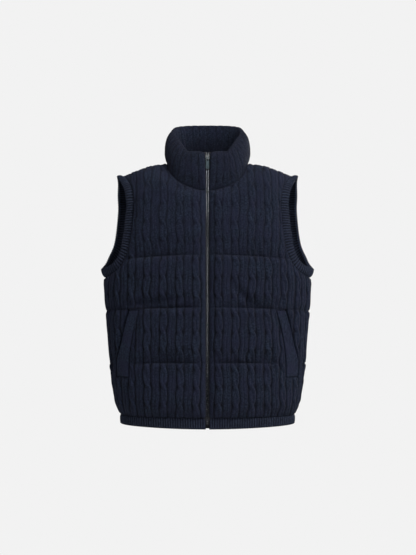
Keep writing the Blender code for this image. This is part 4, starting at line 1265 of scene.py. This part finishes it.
def buildWelts():
    length = weltRows[-1][0] - weltRows[0][0]
    rows = np.arange(weltLook["rows"])
    heights = np.linspace(weltRows[-1][0], weltRows[0][0], len(rows))
    share = np.linspace(0, 1, weltLook["across"])
    inner, outer = weltInner(heights)[:, None], weltOuter(heights)[:, None]
    around, height = np.broadcast_arrays(inner + (outer - inner) * share, heights[:, None])
    points, normals = frontPlace(around, height)
    ends = np.minimum(rows, rows[::-1])[:, None] / rows[-1] * length
    edge = np.minimum(share, 1 - share) * weltLook["wide"]
    near = np.clip(np.minimum(edge, ends + weltLook["endFrom"]) / weltLook["round"], 0, 1)
    rounded = np.sqrt(np.clip(1 - (1 - near) ** 2, 0.02, 1))
    alive = softStep(ends / weltLook["lipEnds"])
    lip = weltLook["lip"] * softStep((share - weltLook["lipFrom"]) / (1 - weltLook["lipFrom"])) * alive
    upTurns, acrossTurns = weltLook["waveTurns"]
    wave = weltLook["wave"] * np.sin(height * upTurns + around * acrossTurns) * alive
    high = welt["lift"] + weltLook["clear"] + welt["thick"] * rounded + lip + wave
    low = welt["lift"] - weltLook["under"] + lip * weltLook["lipUnder"]
    low = np.minimum(low, high - weltLook["thinnest"])
    outerFace = points + normals * high[..., None]
    innerFace = points + normals * low[..., None]
    section = np.concatenate([outerFace, innerFace[:, ::-1]], 1)
    pattern = np.stack([around, height], -1)
    patterns = np.concatenate([pattern, pattern[:, ::-1]], 1)
    # painted shade towards the welt's rounded edges and on its inner face
    shadeTints = np.concatenate([1 - rounded, np.full_like(rounded, weltLook["innerShade"])], 1)
    for name, side in (("left", 1), ("right", -1)):
        item = meshObject("pocket_welt_%s_knit" % name, *loft(section * [side, 1, 1], patterns, shadeTints))
        finishPiece(item, plainCloth, "pocket_welt_" + name)
    print("pocket welts made")


buildWelts()

# zip
zipLook = {
    "half": 0.0031,             # half the width of the row of teeth
    "boxTop": -0.6145,
    "sliderLow": -0.0010,
    "sliderHigh": 0.0116,
    "top": 0.0175,
    "straightFrom": -0.560,     # the zip hangs straight below this
    "toothPitch": 0.0026,
    "toothLength": 0.0036,
    "toothHigh": 0.00125,
    "toothThick": 0.0024,
    "toothRound": 0.6,
    "aboveBox": 0.0012,         # the row of teeth keeps clear of the box and the slider
    "belowSlider": 0.0008,
    "tapeCut": (0.012, 0.646),
    "tapeThick": 0.0011,
    "tapeOuter": 0.0079,
    "tapeUnder": 0.0006,        # the teeth are clamped over this much of the tape
    "tapeRows": 330,
    "tapeAcross": 7,
    "besideSlider": 0.0050,
    "sliderClear": 0.001,
    "footFrom": -0.599,         # below this the stiffened ends meet behind the last teeth
    "footGap": 0.0002,
    "cord": 0.0005,             # height of the cord along the teeth, its place and its width
    "cordAt": 0.06,
    "cordWide": 0.1,
}


# the zip's centre line, in the body's surface and then in the collar
def zipPoint(height):
    low = bodyPoint(0.0, body["neckFront"])
    top = np.array([0.0, collarTop[0][2], collarTop[0][3]])
    if height <= zipLook["straightFrom"]:
        high, end = bodyPoint(0.0, zipLook["straightFrom"]), bodyPoint(0.0, body["hemBottom"])
        return end + (high - end) * (height - end[2]) / (high[2] - end[2])
    if height <= body["neckFront"]:
        return bodyPoint(0.0, height)
    return low + (top - low) * (height - low[2]) / (top[2] - low[2])


def zipLean(height):
    step = 0.002
    low, high = zipPoint(height - step), zipPoint(height + step)
    return math.atan2(high[1] - low[1], high[2] - low[2])


def tapeInner(height):
    clear = zipLook["sliderClear"]
    if zipLook["sliderLow"] - clear < height < zipLook["sliderHigh"] + clear:
        return zipLook["besideSlider"]
    if height < zipLook["footFrom"]:
        return zipLook["footGap"]
    return zipLook["half"] - zipLook["tapeUnder"]


def buildTapes():
    heights = np.linspace(body["hemBottom"], zipLook["top"], zipLook["tapeRows"])
    share = np.linspace(0, 1, zipLook["tapeAcross"])
    half = zipLook["tapeThick"] / 2
    bead = zipLook["cord"] * np.exp(-((share - zipLook["cordAt"]) / zipLook["cordWide"]) ** 2)
    for name, side in (("left", 1), ("right", -1)):
        sections = []
        for height in heights:
            y = float(zipPoint(height)[1])
            inner = tapeInner(height)
            x = (inner + (zipLook["tapeOuter"] - inner) * share) * side
            z = np.full(len(share), height)
            outside = np.stack([x, y - half - bead, z], 1)
            inside = np.stack([x, np.full_like(x, y + half), z], 1)
            sections.append(np.vstack([outside, inside[::-1]]))
        sections = np.array(sections)
        patterns, shadeTints = sections[..., :2], np.zeros(sections.shape[:2])
        item = meshObject("zip_tape_%s_twill" % name, *loft(sections, patterns, shadeTints))
        finishPiece(item, tapeCloth, "zip_tape_" + name)
    print("zip tapes made")


# one tooth on the +X side: clamp on the tape, neck and domed head reaching over the centre
toothRings = (                  # share of the length, of the height, of the thickness
    (0.0, 0.62, 0.85), (0.12, 0.95, 1.0), (0.45, 0.92, 1.0), (0.62, 0.70, 0.82), (0.78, 0.80, 0.86),
    (0.92, 0.66, 0.70), (1.0, 0.36, 0.42),
)
ringCount = 10                  # a flat facet faces the front


def squared(value):
    return math.copysign(abs(value) ** zipLook["toothRound"], value)


def toothShape():
    rows = []
    for share, tall, thick in toothRings:
        x = zipLook["half"] - zipLook["toothLength"] * share
        for angle in np.arange(ringCount) / ringCount * 2 * math.pi:
            y = squared(math.sin(angle)) * zipLook["toothThick"] / 2 * thick
            z = squared(math.cos(angle)) * zipLook["toothHigh"] / 2 * tall
            rows.append((x, y, z))
    return np.array(rows)


def toothFaces():
    faces = []
    for start in range(0, (len(toothRings) - 1) * ringCount, ringCount):
        for k in range(ringCount):
            m = (k + 1) % ringCount
            faces.append([start + k, start + m, start + ringCount + m, start + ringCount + k])
    last = (len(toothRings) - 1) * ringCount
    return faces + [list(range(ringCount)), list(range(last, last + ringCount))]


def buildTeeth():
    shape, faces = toothShape(), toothFaces()
    points, allFaces = [], []
    low, high = zipLook["boxTop"] + zipLook["aboveBox"], zipLook["sliderLow"] - zipLook["belowSlider"]
    step = zipLook["toothPitch"] / 2
    number = int((high - low) / step) + 1
    for index in range(number):
        height = low + index * step
        side = 1 if index % 2 else -1
        lean = zipLean(height)
        x = shape[:, 0] * side
        y = shape[:, 1] * math.cos(lean) + shape[:, 2] * math.sin(lean)
        z = -shape[:, 1] * math.sin(lean) + shape[:, 2] * math.cos(lean)
        allFaces += [[len(points) + i for i in face] for face in faces]
        points += (np.stack([x, y, z], 1) + zipPoint(height)).tolist()
    item = meshObject("zip_teeth", points, allFaces, smooth=False)
    finishPiece(item, metals["tooth_metal"], "zip_chain")
    print("zip teeth", number)


buildTapes()
buildTeeth()
hardware = {
    "top_stop_left": "slider_metal",
    "top_stop_right": "slider_metal",
    "zip_box": "box_metal",
    "slider": "slider_metal",
    "pull_tab": "tab_metal",
}
for name, metal in hardware.items():
    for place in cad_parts[name].material_slots:
        place.material = metals[metal]
print("zip made")

# floor, backdrop, lights and camera
stageLook = {
    "floorHeight": -1.45,
    "reach": 9.0,
    "colour": (0.70, 0.70, 0.70),
    "shown": 0.8879,            # the pale surround, as the camera sees it
    "roughness": 0.9,
    "nearRadius": 0.7,          # the plain floor melts into the surround between these
    "farRadius": 1.7,
    "lightBelow": 0.14,
    "lightAbove": 0.25,
    "lightFrom": (-0.5, 0.8),   # the surround's light grows between these heights on its sphere
}


# a pale floor that fades into the same pale tone as the surround
def buildFloor():
    reach, low = stageLook["reach"], stageLook["floorHeight"]
    corners = [(x * reach, y * reach, low) for x, y in ((-1, -1), (1, -1), (1, 1), (-1, 1))]
    item = meshObject("floor", corners, [[0, 1, 2, 3]])
    paint, tree, shader = newMaterial("floor_paint", stageLook["roughness"],
                                      Base_Color=opaque(stageLook["colour"]), Specular_IOR_Level=0.1)
    place = addNode(tree, "TexCoord").outputs["Object"]
    parts = addNode(tree, "SeparateXYZ")
    tree.links.new(place, parts.inputs[0])
    squares = [maths(tree, "POWER", parts.outputs[axis], 2.0) for axis in (0, 1)]
    radius = maths(tree, "SQRT", maths(tree, "ADD", *squares))
    glow = addNode(tree, "Emission")
    seen = addNode(tree, "LightPath").outputs["Is Camera Ray"]
    strength = smoothRange(tree, seen, 0.0, 1.0, stageLook["lightBelow"], stageLook["shown"])
    tree.links.new(strength, glow.inputs["Strength"])
    mixed = addNode(tree, "MixShader")
    faded = smoothRange(tree, radius, stageLook["nearRadius"], stageLook["farRadius"])
    tree.links.new(faded, mixed.inputs[0])
    tree.links.new(shader.outputs[0], mixed.inputs[1])
    tree.links.new(glow.outputs[0], mixed.inputs[2])
    tree.links.new(mixed.outputs[0], tree.nodes["Material Output"].inputs["Surface"])
    item.data.materials.append(paint)


def buildWorld():
    world = bpy.data.worlds.new("studio")
    bpy.context.scene.world = world
    world.use_nodes = True
    tree = world.node_tree
    parts = addNode(tree, "SeparateXYZ")
    tree.links.new(addNode(tree, "TexCoord").outputs["Generated"], parts.inputs[0])
    low, high = stageLook["lightFrom"]
    soft = smoothRange(tree, parts.outputs[2], low, high, stageLook["lightBelow"], stageLook["lightAbove"])
    seen = addNode(tree, "LightPath").outputs["Is Camera Ray"]
    shown = maths(tree, "MULTIPLY", seen, stageLook["shown"])
    unseen = maths(tree, "MULTIPLY", maths(tree, "SUBTRACT", 1.0, seen), soft)
    tree.links.new(maths(tree, "ADD", shown, unseen), tree.nodes["Background"].inputs["Strength"])
    tree.nodes["Background"].inputs["Color"].default_value = (1.0, 1.0, 1.0, 1.0)


def areaLight(name, place, aim, size, power):
    lamp = bpy.data.lights.new(name, "AREA")
    lamp.shape = "RECTANGLE"
    lamp.size, lamp.size_y = size
    lamp.energy = power
    item = bpy.data.objects.new(name, lamp)
    item.location = place
    item.rotation_euler = (Vector(aim) - Vector(place)).to_track_quat("-Z", "Y").to_euler()
    bpy.context.scene.collection.objects.link(item)


middle = (0.0, 0.0, -0.28)
lights = {                      # place, aim, size, power
    "key_light": ((1.8, -2.1, 2.45), middle, (1.5, 1.1), 112),
    "fill_light": ((-2.3, -2.0, 0.4), middle, (1.8, 1.8), 15),
    "low_light": ((2.3, -2.4, -0.3), (0.05, 0.0, -0.42), (1.4, 1.0), 24),
    "strip_light": ((0.0, -3.4, 1.25), (0.0, -0.1, -0.08), (0.4, 0.75), 8.0),     # glints in the zip
    "back_light": ((0.9, 2.9, 0.15), middle, (1.8, 1.4), 120),
}
view = {"place": (0.0012, -3.1, -0.2748), "lens": 83.8, "sensor": 36.0}


def buildCamera():
    lens = bpy.data.cameras.new("camera")
    lens.lens = view["lens"]
    lens.sensor_width = view["sensor"]
    lens.sensor_fit = "AUTO"
    camera = bpy.data.objects.new("camera", lens)
    camera.location = view["place"]
    camera.rotation_euler = (math.pi / 2, 0.0, 0.0)
    bpy.context.scene.collection.objects.link(camera)
    bpy.context.scene.camera = camera


buildFloor()
buildWorld()
for name, settings in lights.items():
    areaLight(name, *settings)
buildCamera()
bpy.context.scene.view_settings.view_transform = "Standard"
print("stage, lights and camera set")
